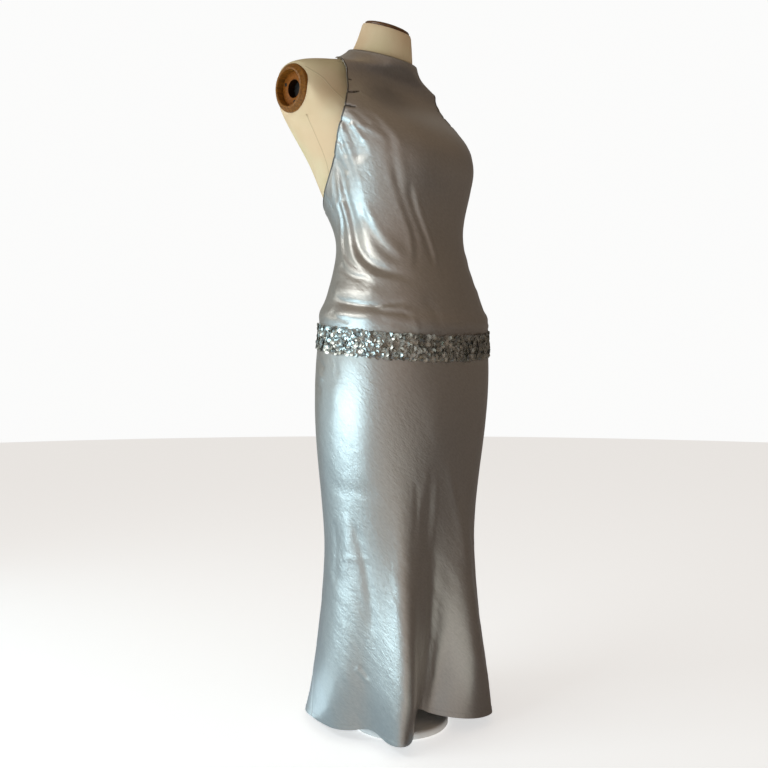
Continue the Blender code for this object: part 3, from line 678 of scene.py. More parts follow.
def finish_piece(piece, finish, slot, *nodes):
    """Gives a piece its finish, by name or ready made, and its body, and hides the nodes it stands for; the slot
    is not used.
    """
    piece.data.materials.clear()
    piece.data.materials.append(finish_named(finish) if isinstance(finish, str) else finish)
    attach(piece, "root")
    if nodes:
        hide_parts(*nodes)


def turned(name, profile, steps=96, ring=False, bevel=0.0):
    """A turned solid about Z: a circle extruded and resized through (radius, along) points."""
    deselect()
    radius, along = profile[0]
    bpy.ops.mesh.primitive_circle_add(vertices=steps, radius=radius, location=(0, 0, along))
    piece = bpy.context.object
    piece.name = piece.data.name = name
    bpy.ops.object.transform_apply(location=True, rotation=True, scale=True)
    bpy.ops.object.mode_set(mode="EDIT")
    bpy.ops.mesh.select_all(action="SELECT")
    for next_radius, next_along in profile[1:] + (profile[:1] if ring else []):
        bpy.ops.mesh.extrude_region_move(TRANSFORM_OT_translate={"value": (0, 0, next_along - along)})
        share = next_radius / radius
        bpy.ops.transform.resize(value=(share, share, 1), center_override=(0, 0, next_along))
        radius, along = next_radius, next_along
    bpy.ops.mesh.select_all(action="SELECT")
    bpy.ops.mesh.remove_doubles(threshold=1e-6)
    if not ring:
        bpy.ops.mesh.fill_holes(sides=0)
    bpy.ops.mesh.select_all(action="SELECT")
    bpy.ops.mesh.normals_make_consistent(inside=False)
    bpy.ops.object.mode_set(mode="OBJECT")
    if bevel:
        modify(piece, "BEVEL", width=bevel, segments=3, limit_method="ANGLE",
               angle_limit=radians(28), harden_normals=False)
    alone(piece)
    bpy.ops.object.shade_smooth_by_angle(angle=radians(35))
    return piece


def facing(first, second, towards):
    """The unit normal of two directions, on the side of a third."""
    normal = first.cross(second).normalized()
    return normal if normal.dot(towards) > 0 else -normal


def place(piece, centre, axis):
    """Stands a piece made about Z along another axis, and applies its place to its mesh."""
    turn = Vector((0, 0, 1)).rotation_difference(Vector(axis)).to_matrix().to_4x4()
    alone(piece)
    piece.matrix_world = Matrix.Translation(centre) @ turn
    bpy.ops.object.transform_apply(location=True, rotation=True, scale=True)
    return piece


# ---------------------------------------------------------------- materials
class Socket:
    """One output of a node; arithmetic on it adds Math nodes."""

    def __init__(self, nodes, link):
        self.nodes = nodes
        self.link = link

    def maths(self, operation, *values):
        return self.nodes.add("Math", {"operation": operation}, dict(enumerate(values)))

    def __add__(self, other):
        return self.maths("ADD", self, other)

    __radd__ = __add__

    def __sub__(self, other):
        return self.maths("SUBTRACT", self, other)

    def __rsub__(self, other):
        return self.maths("SUBTRACT", other, self)

    def __mul__(self, other):
        return self.maths("MULTIPLY", self, other)

    __rmul__ = __mul__

    def above(self, edge, wide):
        """0 under the edge, 1 over it, over a soft width."""
        return self.nodes.add("MapRange", {"interpolation_type": "SMOOTHSTEP"},
                              {"Value": self, "From Min": edge - wide, "From Max": edge + wide})


class Nodes:
    """A node tree while its nodes are being joined."""

    def __init__(self, tree):
        self.tree = tree

    def join(self, value, socket):
        """Links a socket or sets its value; a colour is given as three numbers."""
        if isinstance(value, Socket):
            self.tree.links.new(value.link, socket)
        elif socket.type == "RGBA":
            socket.default_value = (*value, 1.0)
        else:
            socket.default_value = value

    def add(self, kind, settings=None, values=None, output=0):
        """One node: its settings first, then its sockets' values or links."""
        node = self.tree.nodes.new("ShaderNode" + kind)
        for key, setting in (settings or {}).items():
            if key == "stops":
                elements = node.color_ramp.elements
                for at, colour in setting[1:-1]:
                    elements.new(at).color = (*colour, 1.0)
                for k in (0, -1):
                    elements[k].position = setting[k][0]
                    elements[k].color = (*setting[k][1], 1.0)
            else:
                setattr(node, key, setting)
        for key, value in (values or {}).items():
            self.join(value, node.inputs[key])
        return Socket(self, node.outputs[output])

    def split(self, vector):
        """The three numbers of a vector."""
        outputs = self.add("SeparateXYZ", values={0: vector}).link.node.outputs
        return [Socket(self, output) for output in outputs]

    def mix(self, share, first, second):
        """A colour between two."""
        return self.add("Mix", {"data_type": "RGBA"}, {0: share, 6: first, 7: second}, output=2)


class Finish(Nodes):
    """A material while its nodes are being joined."""

    def __init__(self, name, **constants):
        self.material = bpy.data.materials.new(name)
        self.material.use_nodes = True
        super().__init__(self.material.node_tree)
        self.set(**constants)

    def set(self, **values):
        """Sets or links the shader's sockets; a name's underscores are its spaces."""
        inputs = self.tree.nodes["Principled BSDF"].inputs
        for name, value in values.items():
            self.join(value, inputs[name.replace("_", " ").title().replace("Ior", "IOR")])

    def turned_place(self, spot, turn, scale):
        """A place turned and then scaled."""
        turned_to = self.add("Mapping", {"vector_type": "POINT"}, {"Vector": spot, "Rotation": turn})
        return self.add("VectorMath", {"operation": "MULTIPLY"}, {0: turned_to, 1: scale})

    def cloth_place(self, turn, across, along):
        """A place on the flat cloth, turned by degrees, in units of two lengths in metres."""
        flat = self.add("UVMap", {"uv_map": "cloth"})
        return self.turned_place(flat, (0, 0, radians(turn)), (1 / across, 1 / along, 1))

    def object_place(self, move=(0, 0, 0), turn=(0, 0, 0), scale=(1, 1, 1)):
        """Metres on the object, moved, turned and scaled."""
        spot = self.add("TexCoord", output="Object")
        moved = self.add("VectorMath", {"operation": "SUBTRACT"}, {0: spot, 1: move})
        return self.turned_place(moved, turn, scale)

    def noise(self, spot=None, scale=1.0, detail=2.0, roughness=0.5, distortion=0.0):
        """Soft noise, 0 to 1, whose blobs are about 1 / scale across."""
        return self.add("TexNoise", values={"Vector": spot or self.object_place(), "Scale": scale,
                                            "Detail": detail, "Roughness": roughness,
                                            "Distortion": distortion})

    def cloth_noise(self, turn, across, along, detail=2.0, roughness=0.5):
        """Soft noise drawn out along one direction of the flat cloth."""
        return self.noise(self.cloth_place(turn, across, along), 1.0, detail, roughness)

    def weave(self, pitch, turn=0.0):
        """The rise and fall of a plain weave, -1 to 1."""
        along, across, _ = self.split(self.cloth_place(turn, pitch, pitch))
        return along.maths("SINE", along * tau) * across.maths("SINE", across * tau)

    def bump(self, height, distance, below=None):
        """A normal from a height in metres times the distance, over the relief below it."""
        values = {"Height": height, "Distance": distance}
        return self.add("Bump", values={**values, "Normal": below} if below else values)


def toned(colour, *shares):
    """A darker or paler colour, by one share or by one for each channel."""
    return tuple(min(1.0, c * k) for c, k in zip(colour, shares if len(shares) == 3 else shares * 3))


def satin_finish(colour, name="silver_satin"):
    """Bias-cut silk satin: long floats give a broad gloss, with a fine diagonal grain, and painted shade in the
    armhole tucks.
    """
    look = Finish(name, metallic=0.88)
    grain = look.cloth_noise(-52, 0.0032, 0.0085, 3.0, 0.65)
    threads = look.cloth_noise(-52, 0.0011, 0.016, 3.0, 0.6)
    wrinkles = look.cloth_noise(-40, 0.008, 0.03, 3.0)
    patches = look.cloth_noise(-62, 0.014, 0.03, 3.0)
    clouds = look.cloth_noise(20, 0.09, 0.14)
    floats = look.cloth_noise(45, 0.00022, 0.0009, 1.0)
    tone = look.mix(grain.above(0.5, 0.26) * 0.45 + threads * 0.2 + clouds * 0.35, toned(colour, 0.83),
                    toned(colour, 1.15))
    # painted shade: the satin darkens to an eighth of its colour in the creases of the armhole tucks
    tone = look.mix(look.add("Attribute", {"attribute_name": "tuck"}, output="Fac"), tone, toned(colour, 0.12))
    relief = look.bump(patches, 0.0004)
    for layer, deep in ((wrinkles, 0.00042), (grain, 0.00045), (threads, 0.0001), (floats, 0.00002)):
        relief = look.bump(layer, deep, relief)
    look.set(base_color=tone, roughness=0.28 + 0.07 * clouds + 0.12 * grain, normal=relief)
    return look.material


def sequin_finish(colour):
    """Silver cup sequins: bright lacquered film, each at its own tone, pierced at the middle, with painted shade
    round each rim.
    """
    look = Finish("silver_sequins", metallic=0.88, coat_roughness=0.08)
    tone = look.add("Attribute", {"attribute_name": "tone"}, output="Fac")
    cup = look.add("Attribute", {"attribute_name": "cup"}, output="Fac")
    hole = cup.above(0.86, 0.05)
    # painted shade: each sequin's outer rim is darkened, as if in the shadow of the sequin that overlaps it
    rim = 1 - cup.above(0.1, 0.09)
    shade = look.mix(tone, toned(colour, 0.5), colour)
    shade = look.mix(rim * 0.45, shade, toned(colour, 0.26))
    shade = look.mix(hole, shade, (0.03, 0.03, 0.03))
    scuffs = look.noise(scale=900)
    look.set(base_color=shade, roughness=0.17 + 0.16 * scuffs, coat_weight=0.3 * (1 - hole))
    return look.material


def net_finish():
    """The dark net that the sequins are sewn to."""
    look = Finish("sequin_net", metallic=0.1)
    wave = look.weave(0.0016, 45)
    shade = look.mix(wave * 0.5 + 0.5, (0.1, 0.1, 0.1), (0.22, 0.22, 0.21))
    look.set(base_color=shade, roughness=0.75 - 0.1 * wave, normal=look.bump(wave, 0.0001))
    return look.material


def canvas_finish(colour, name="form_canvas"):
    """Sized cotton canvas over a hard form: plain weave, mottled and a little worn."""
    look = Finish(name, specular_ior_level=0.35)
    wave = look.weave(0.0016)
    slubs = look.cloth_noise(0, 0.0015, 0.02)
    mottle = look.noise(scale=14, detail=3.0)
    stains = look.noise(look.object_place(move=(0.3, 0.1, 0.7)), scale=9)
    worn = toned(colour, 0.88, 0.84, 0.76)
    tone = look.mix(mottle.above(0.52, 0.22) * 0.8, colour, worn)
    tone = look.mix(stains.above(0.56, 0.12) * 0.6, tone, toned(colour, 0.96, 0.8, 0.76))
    tone = look.mix((1 - stains).above(0.6, 0.1) * 0.4, tone, toned(colour, 0.82, 0.9, 0.74))
    tone = look.mix((slubs * 0.5 + wave * 0.15) * 0.45, tone, worn)
    relief = look.bump(wave + slubs * 1.5, 0.0001)
    look.set(base_color=tone, roughness=0.74 + 0.14 * mottle, normal=relief)
    return look.material


def wood_finish(name, light, darker, centre, turn, shine, gloss=0.5, bore=0.0):
    """Turned and varnished wood: long grain and pores, centred on the piece, with painted shade inside its bore.
    """
    light, dark, centre = tuple(light), toned(light, darker), tuple(centre)
    look = Finish(name, coat_roughness=0.22, specular_ior_level=gloss)
    long_grain = look.noise(look.object_place(centre, turn, (1 / 0.004, 1 / 0.004, 1 / 0.045)), detail=4.0,
                            roughness=0.6, distortion=0.6)
    fine_grain = look.noise(look.object_place(centre, turn, (1 / 0.0009, 1 / 0.0009, 1 / 0.02)))
    wear = look.noise(look.object_place(centre, turn), scale=60)
    tone = look.mix(long_grain.above(0.5, 0.22) * 0.75 + fine_grain * 0.25, light, dark)
    tone = look.mix(wear.above(0.66, 0.08) * 0.35, tone, toned(light, 1.5))
    off_axis = look.add("VectorMath", {"operation": "LENGTH"}, {0: look.object_place(centre, turn, (1, 1, 0))},
                        output=1)
    # painted shade: inside the bore the wood darkens almost to black
    tone = look.mix(1 - off_axis.above(bore, 0.0004), tone, toned(dark, 0.1))
    relief = look.bump(fine_grain * 0.7 + long_grain * 0.3, 0.00018)
    look.set(base_color=tone, roughness=0.34 + 0.16 * long_grain, coat_weight=shine * (1 - 0.5 * wear),
             normal=relief)
    return look.material


def steel_finish(colour):
    """Brushed steel tube with faint handling marks."""
    look = Finish("brushed_steel", metallic=1.0)
    brushed = look.noise(look.object_place(scale=(1 / 0.004, 1 / 0.004, 1 / 0.00035)))
    marks = look.noise(scale=45, detail=3.0)
    tone = look.mix(marks.above(0.58, 0.1) * 0.5, colour, toned(colour, 0.7))
    look.set(base_color=tone, roughness=0.26 + 0.12 * brushed + 0.1 * marks,
             normal=look.bump(brushed, 0.00004))
    return look.material


def paint_finish(colour):
    """Pale enamel, slightly pebbled, with soft patches of dirt."""
    look = Finish("stand_enamel", coat_roughness=0.3)
    pebble = look.noise(scale=700, detail=1.0)
    dirt = look.noise(scale=24, detail=4.0)
    tone = look.mix(dirt.above(0.55, 0.14) * 0.35, colour, toned(colour, 0.78))
    look.set(base_color=tone, roughness=0.42 + 0.12 * dirt, coat_weight=0.25 * (1 - dirt),
             normal=look.bump(pebble, 0.00008))
    return look.material


def thread_finish(colour):
    """Twisted sewing thread."""
    look = Finish("silver_thread", sheen_weight=0.3)
    twist = look.noise(scale=2600, detail=1.0)
    look.set(base_color=look.mix(twist, toned(colour, 0.7), colour), roughness=0.5 + 0.2 * twist,
             normal=look.bump(twist, 0.00005))
    return look.material


def dark_finish():
    """The unlit inside of a bored hole."""
    look = Finish("bored_hole")
    shade_mottle = look.noise(scale=300)
    # painted shade: near black, mottled between two dark browns
    look.set(base_color=look.mix(shade_mottle, (0.004, 0.003, 0.002), (0.018, 0.01, 0.005)),
             roughness=0.7 + 0.2 * shade_mottle)
    return look.material


FINISHES = {}


def finish_named(key):
    """A material made once and kept."""
    colours = bpy.context.scene.gown_colours
    if key not in FINISHES:
        makers = {
            "satin": lambda: satin_finish(tuple(colours.satin)),
            # painted shade: the turned edges are a darker copy of the satin
            "edge": lambda: satin_finish(toned(colours.satin, 0.32), "turned_satin"),
            "sequins": lambda: sequin_finish(tuple(colours.sequins)),
            "net": net_finish,
            "canvas": lambda: canvas_finish(tuple(colours.canvas)),
            "seam": lambda: canvas_finish(toned(colours.canvas, 0.84), "canvas_seams"),
            "steel": lambda: steel_finish(tuple(colours.steel)),
            "paint": lambda: paint_finish(tuple(colours.enamel)),
            "thread": lambda: thread_finish(tuple(colours.thread)),
            "hole": dark_finish,
        }
        FINISHES[key] = makers[key]()
    return FINISHES[key]


# ---------------------------------------------------------------- settings
class GownSizes(bpy.types.PropertyGroup):
    """Sizes a user might change."""
    cloth_wall: FloatProperty(name="Cloth wall", description="Thickness of the satin", default=0.0008,
                              min=0.0004, max=0.003, unit="LENGTH")
    edge_width: FloatProperty(name="Edge width", description="Width of the turned edges", default=0.003,
                              min=0.002, max=0.012, unit="LENGTH")
    sequin_radius: FloatProperty(name="Sequin radius", description="Mean radius of a sequin",
                                 default=0.005, min=0.002, max=0.008, unit="LENGTH")
    sequin_rows: IntProperty(name="Sequin rows", description="Rows of sequins up the band", default=8,
                             min=3, max=14)
    stitch_pitch: FloatProperty(name="Stitch pitch", description="Distance between stitches",
                                default=0.0032, min=0.0015, max=0.008, unit="LENGTH")


class GownColours(bpy.types.PropertyGroup):
    """Colours a user might change."""
    satin: FloatVectorProperty(name="Satin", description="Colour of the satin", subtype="COLOR",
                               default=(0.57, 0.53, 0.48), min=0, max=1)
    sequins: FloatVectorProperty(name="Sequins", description="Brightest sequin", subtype="COLOR",
                                 default=(0.91, 0.9, 0.8), min=0, max=1)
    canvas: FloatVectorProperty(name="Canvas", description="Colour of the canvas", subtype="COLOR",
                                default=(0.69, 0.55, 0.35), min=0, max=1)
    ring_wood: FloatVectorProperty(name="Ring wood", description="Light grain of the arm rings",
                                   subtype="COLOR", default=(0.27, 0.1, 0.012), min=0, max=1)
    plate_wood: FloatVectorProperty(name="Plate wood", description="Light grain of the socket plates",
                                    subtype="COLOR", default=(0.26, 0.08, 0.01), min=0, max=1)
    dark_wood: FloatVectorProperty(name="Dark wood", description="Light grain of the dark wood",
                                   subtype="COLOR", default=(0.16, 0.06, 0.012), min=0, max=1)
    steel: FloatVectorProperty(name="Steel", description="Colour of the pole", subtype="COLOR",
                               default=(0.58, 0.58, 0.57), min=0, max=1)
    enamel: FloatVectorProperty(name="Enamel", description="Colour of the base", subtype="COLOR",
                                default=(0.8, 0.79, 0.76), min=0, max=1)
    thread: FloatVectorProperty(name="Thread", description="Colour of the sewing thread", subtype="COLOR",
                                default=(0.42, 0.42, 0.4), min=0, max=1)


# ---------------------------------------------------------------- gown grids
# points across each panel, and its rows near the band and the hem
FRONT_COLUMNS = 225
BACK_COLUMNS = 111
BODICE_BAND_ROWS = (0.02, 0.5, 0.85)
SKIRT_BAND_ROWS = (0.4, 0.98)
HEM_ROWS = (1, 0.9992, 0.9975, 0.9955, 0.9925, 0.989)


def spread(count):
    """Shares from -1 to 1, closest at both ends, where the gathers are."""
    t = np.linspace(-1, 1, count)
    return t * (1.25 - 0.25 * t * t)


def tuck_shade(angle, height):
    """How deep the small tucks at the armholes are, 0 to 1: the share of painted shade in their creases."""
    return np.clip(fold_out(SHADED_TUCKS, angle, height) / -TUCK_FULL, 0.0, 1.0) ** 2


def bodice_front_grid():
    """The halter front, wide to the side seams below and round the neck above, with the painted shade of its
    tucks.
    """
    shares = spread(FRONT_COLUMNS)
    angles = shares * SEAM_ANGLE
    start = band_middle(angles)
    rows = [(angles, start + BAND_TALL / 2 * t) for t in BODICE_BAND_ROWS]
    low = start + BAND_TALL / 2
    rows += [(angles, low + (ARMHOLE_LOW - low) * t) for t in np.linspace(0, 1, 66)]
    steps = ((ARMHOLE_LOW, SHOULDER_LOW, 100), (SHOULDER_LOW, SHOULDER_HIGH, 10),
             (SHOULDER_HIGH, HALTER_SEAM, 18), (HALTER_SEAM, HALTER_TOP, 5))
    heights = np.concatenate([np.linspace(a, b, n + 1)[1:] for a, b, n in steps])
    rows += [(shares * armhole_edge(height), height + 0 * shares) for height in heights]
    return np.array([bodice_point(*row) for row in rows]), np.array([tuck_shade(*row) for row in rows])


def bodice_back_grid():
    """The low back, between the side seams."""
    angles = np.linspace(SEAM_ANGLE, 360 - SEAM_ANGLE, BACK_COLUMNS)
    start = band_middle(angles)
    rows = [bodice_point(angles, start + BAND_TALL / 2 * t) for t in BODICE_BAND_ROWS]
    low = start + BAND_TALL / 2
    rows += [bodice_point(angles, low + (back_edge(angles) - low) * t) for t in np.linspace(0, 1, 64)]
    return np.array(rows)


def skirt_grid(angles, count):
    """A skirt panel, from its fluted hem up to the middle of the sequin band."""
    start = band_middle(angles) - BAND_TALL / 2
    rows = []
    for t in np.concatenate([HEM_ROWS, np.linspace(0.985, 0, count)]):
        rows.append(skirt_point(angles, hem_height(angles) * t + start * (1 - t)))
    rows += [skirt_point(angles, start + BAND_TALL / 2 * t) for t in SKIRT_BAND_ROWS]
    return np.array(rows)


def stitches(name, lines, size=0.00016):
    """Rows of sewing stitches: each a short thread that lies on the cloth."""
    pitch = bpy.context.scene.gown_sizes.stitch_pitch
    corners = np.array([(-1, -1), (1, -1), (1, 1), (-1, 1)], float)
    verts, faces = [], []
    for points, normals in lines:
        run = run_along(np.linalg.norm(np.diff(points, axis=0), axis=-1))
        for start in np.arange(pitch / 2, run[-1] - pitch, pitch):
            ends = [np.array([np.interp(start + k * pitch * 0.62, run, points[:, i]) for i in range(3)])
                    for k in (0, 1)]
            up = np.array([np.interp(start, run, normals[:, i]) for i in range(3)])
            up = up / np.linalg.norm(up)
            way = (ends[1] - ends[0]) / max(np.linalg.norm(ends[1] - ends[0]), 1e-9)
            side = np.cross(up, way)
            first = len(verts)
            middle = (ends[0] + ends[1]) / 2
            for centre, lift, scale in ((ends[0], 0.0, 0.5), (middle, 1.6, 1.3), (ends[1], 0.0, 0.5)):
                for a, b in corners:
                    verts.append(centre + up * size * (lift + b * scale) + side * size * a * scale)
            for ring in (0, 4):
                for k in range(4):
                    n = (k + 1) % 4
                    faces.append((first + ring + k, first + ring + n, first + ring + 4 + n, first + ring + 4 + k))
            faces += [(first + 3, first + 2, first + 1, first), (first + 8, first + 9, first + 10, first + 11)]
    made = mesh_object(name, [tuple(v) for v in verts], faces)
    close_up(made, fill=False)
    made.data.shade_smooth()
    return made


# ---------------------------------------------------------------- operators
class Maker:
    """What the operators have in common."""
    bl_options = {"REGISTER", "UNDO"}


class GOWN_OT_bodice(Maker, bpy.types.Operator):
    """Make the satin halter front and the low back"""
    bl_idname = "gown.bodice"
    bl_label = "Bodice"

    def execute(self, context):
        wall = context.scene.gown_sizes.cloth_wall
        # the front's points come with the painted shade of its armhole tucks
        points, tucks = bodice_front_grid()
        front = shell("bodice_front_satin", points, wall, tucks=tucks)
        finish_piece(front, "satin", "satin", "bodice_front")
        back = shell("bodice_back_satin", bodice_back_grid(), wall)
        finish_piece(back, "satin", "satin", "bodice_back")
        return {"FINISHED"}


class GOWN_OT_skirt(Maker, bpy.types.Operator):
    """Make the fluted satin skirt, front and back"""
    bl_idname = "gown.skirt"
    bl_label = "Skirt"

    def execute(self, context):
        wall = context.scene.gown_sizes.cloth_wall
        front = shell("skirt_front_satin",
                      skirt_grid(np.linspace(-SEAM_ANGLE, SEAM_ANGLE, FRONT_COLUMNS), 176), wall)
        finish_piece(front, "satin", "satin", "skirt_front")
        back = shell("skirt_back_satin",
                     skirt_grid(np.linspace(SEAM_ANGLE, 360 - SEAM_ANGLE, BACK_COLUMNS), 150), wall)
        finish_piece(back, "satin", "satin", "skirt_back")
        return {"FINISHED"}


class GOWN_OT_edges(Maker, bpy.types.Operator):
    """Make the narrow turned edges of the armholes and of the low back, in a satin darkened as painted shade"""
    bl_idname = "gown.edges"
    bl_label = "Turned edges"

    def execute(self, context):
        sizes = context.scene.gown_sizes
        heights = np.concatenate([np.linspace(ARMHOLE_LOW + 0.001, SHOULDER_LOW, 110),
                                  np.linspace(SHOULDER_LOW + 0.0015, SHOULDER_HIGH, 24),
                                  np.linspace(SHOULDER_HIGH + 0.0007, HALTER_SEAM - 0.0002, 34)])
        lift = np.array([0.0001, 0.00018, 0.0002, 0.00018, 0.00012])
        for side, name in HANDS:
            rows = []
            for height in heights:
                edge = float(armhole_edge(height))
                ends = bodice_point(side * np.array([edge - 2.0, edge]), height)
                wide = 2.0 * sizes.edge_width / np.linalg.norm(ends[1] - ends[0])
                rows.append(bodice_point(side * np.linspace(edge - wide, edge, 5), height))
            points = np.array(rows)
            if side < 0:
                points = points[:, ::-1]
            points = points + grid_normals(points) * (lift if side > 0 else lift[::-1])[None, :, None]
            piece = shell("armhole_edge_" + name, points, EDGE_WALL, outwards=True)
            # the edge finish is the satin darkened as painted shade
            finish_piece(piece, "edge", "satin", "armhole_binding_" + name)
        angles = np.linspace(SEAM_ANGLE + 0.3, 360 - SEAM_ANGLE - 0.3, 120)
        drops = np.linspace(sizes.edge_width, 0, 5)
        points = np.array([bodice_point(angles, back_edge(angles) - drop) for drop in drops])
        points = points + grid_normals(points) * lift[:, None, None]
        piece = shell("back_edge", points, EDGE_WALL, outwards=True)
        # the edge finish is the satin darkened as painted shade
        finish_piece(piece, "edge", "satin", "back_edge_binding")
        return {"FINISHED"}


class GOWN_OT_neck(Maker, bpy.types.Operator):
    """Make the halter's neck band and its covered button"""
    bl_idname = "gown.neck"
    bl_label = "Neck band"

    def execute(self, context):
        wall = context.scene.gown_sizes.cloth_wall
        end = HALTER_END + NECK_SEAM * 0.3
        angles = np.linspace(end, 360 - end, 91)
        snug = NECK_SNUG * smooth((70 - abs(angles - 180)) / 45)
        rows = []
        for t in np.linspace(0, 1, 13):
            rolled = 0.0007 * (1 - (2 * t - 1) ** 6) + 0.00022 * np.sin(angles * 1.7) * sin(t * pi)
            height = HALTER_SEAM + (HALTER_TOP - HALTER_SEAM) * t
            rows.append(skin_point(GOWN_CURVES, angles, height, rolled - snug))
        band = shell("neck_band_satin", np.array(rows), wall)
        finish_piece(band, "satin", "satin", "neck_band")

        seat, above = (Vector(skin_point(GOWN_CURVES, 180.0, BUTTON_HEIGHT + up, -NECK_SNUG).tolist())
                       for up in (0.0, 0.004))
        out = facing(above - seat, Vector((1, 0, 0)), Vector((0, 1, 0)))
        profile = [(0.002, 0.0008), (0.0056, 0.0008), (0.0063, 0.0018), (0.0062, 0.0027), (0.0052, 0.0038),
                   (0.0034, 0.0046), (0.0014, 0.0049)]
        button = place(turned("covered_button", profile, steps=40), seat, out)
        uv = button.data.uv_layers.new(name="cloth")
        for loop in button.data.loops:
            spot = button.data.vertices[loop.vertex_index].co
            uv.data[loop.index].uv = (spot.x, spot.z)
        finish_piece(button, "satin", "satin", "neck_button")
        return {"FINISHED"}


class GOWN_OT_sequins(Maker, bpy.types.Operator):
    """Make the hip band: its net backing, and the sequins sewn to it"""
    bl_idname = "gown.sequins"
    bl_label = "Sequin band"

    def execute(self, context):
        sizes = context.scene.gown_sizes
        angles = np.linspace(-180, 180, 241)[:-1]
        rows = [(skirt_point if t < 0 else bodice_point)(angles, band_middle(angles) + BAND_TALL / 2 * t, NET_WALL)
                for t in np.linspace(-1, 1, 13)]
        backing = shell("sequin_band_net", np.array(rows), NET_WALL, closed=True, outwards=True)
        finish_piece(backing, "net", "sequins", "sequin_band")

        chance = random.Random(7)
        sides = 9
        spokes = np.linspace(0, tau, sides, endpoint=False)
        circle = np.stack([np.cos(spokes), np.sin(spokes), np.zeros(sides)], -1)
        unit = np.concatenate([circle, circle * 0.62 + (0, 0, -0.09), [(0, 0, -0.12), (0, 0, -0.19)]])
        cups = np.array([0.0] * sides + [0.45] * sides + [1.0, 0.0])
        shape = []
        for k in range(sides):
            n = (k + 1) % sides
            shape += [(k, n, sides + n), (k, sides + n, sides + k), (sides + k, sides + n, 2 * sides),
                      (n, k, 2 * sides + 1)]
        verts, faces, tones, cup_values = [], [], [], []
        row_gap = (BAND_TALL - 0.005) / (sizes.sequin_rows - 1)
        count = int(BAND_ROUND / (sizes.sequin_radius * 1.12))
        Sequin = namedtuple("Sequin", "angle up radius lift tilt_side tilt_up spin tone")
        sewn = []
        for row in range(sizes.sequin_rows):
            for k in range(count):
                sewn.append(Sequin(-180 + 360 * (k + 0.5 * (row % 2) + chance.uniform(-0.42, 0.42)) / count,
                                   -BAND_TALL / 2 + 0.0025 + row * row_gap + chance.uniform(-0.0018, 0.0018),
                                   sizes.sequin_radius * chance.uniform(0.88, 1.14),
                                   0.0018 + 0.0006 * (row % 2) + chance.uniform(0.0, 0.0014),
                                   chance.gauss(0, 0.24), chance.gauss(0, 0.22) - 0.08,
                                   chance.uniform(0, tau), chance.random()))
        at = np.array([row.angle for row in sewn])
        height = band_middle(at) + np.array([row.up for row in sewn])
        lift = np.array([row.lift for row in sewn])
        spots = [skin_point(GOWN_CURVES, a, h, flute_out(a, h) + blouse_out(a, h) * (h > band_middle(a)) + lift)
                 for a, h in ((at, height), (at + 0.5, height), (at, height + 0.002))]
        for row, spot, beside, over in zip(sewn, *spots):
            out = Vector(np.cross(beside - spot, over - spot)).normalized()
            side = Vector(beside - spot).normalized()
            way = (out + side * row.tilt_side + out.cross(side) * row.tilt_up).normalized()
            turn = way.to_track_quat("Z", "Y").to_matrix() @ Matrix.Rotation(row.spin, 3, "Z")
            first = len(tones)
            verts.append((unit * row.radius) @ np.array(turn).T + spot)
            faces += [tuple(first + i for i in face) for face in shape]
            tones += [row.tone * (0.5 + 0.5 * row.tone)] * len(unit)
            cup_values += list(cups)
        sequins = mesh_object("sequins", np.concatenate(verts).tolist(), faces)
        point_values(sequins, "tone", tones)
        point_values(sequins, "cup", cup_values)
        sequins.data.shade_smooth()
        sequins.data.set_sharp_from_angle(angle=radians(50))
        finish_piece(sequins, "sequins", "sequins")
        return {"FINISHED"}


class GOWN_OT_stitches(Maker, bpy.types.Operator):
    """Sew the hem and the neckline"""
    bl_idname = "gown.stitches"
    bl_label = "Stitches"

    def execute(self, context):
        around = np.linspace(-180, 180, 1441)
        hem = np.array([skirt_point(around, hem_height(around) + HEM_STITCH + up) for up in (-0.001, 0, 0.001)])
        lines = [(hem[1], grid_normals(hem)[1])]
        neck = np.linspace(-HALTER_END + 1, HALTER_END - 1, 500)
        edge = np.array([bodice_point(neck, HALTER_TOP - NECK_STITCH + up) for up in (-0.001, 0, 0.001)])
        lines.append((edge[1], grid_normals(edge)[1]))
        finish_piece(stitches("hem_and_neck_stitches", lines), "thread", "satin")
        return {"FINISHED"}


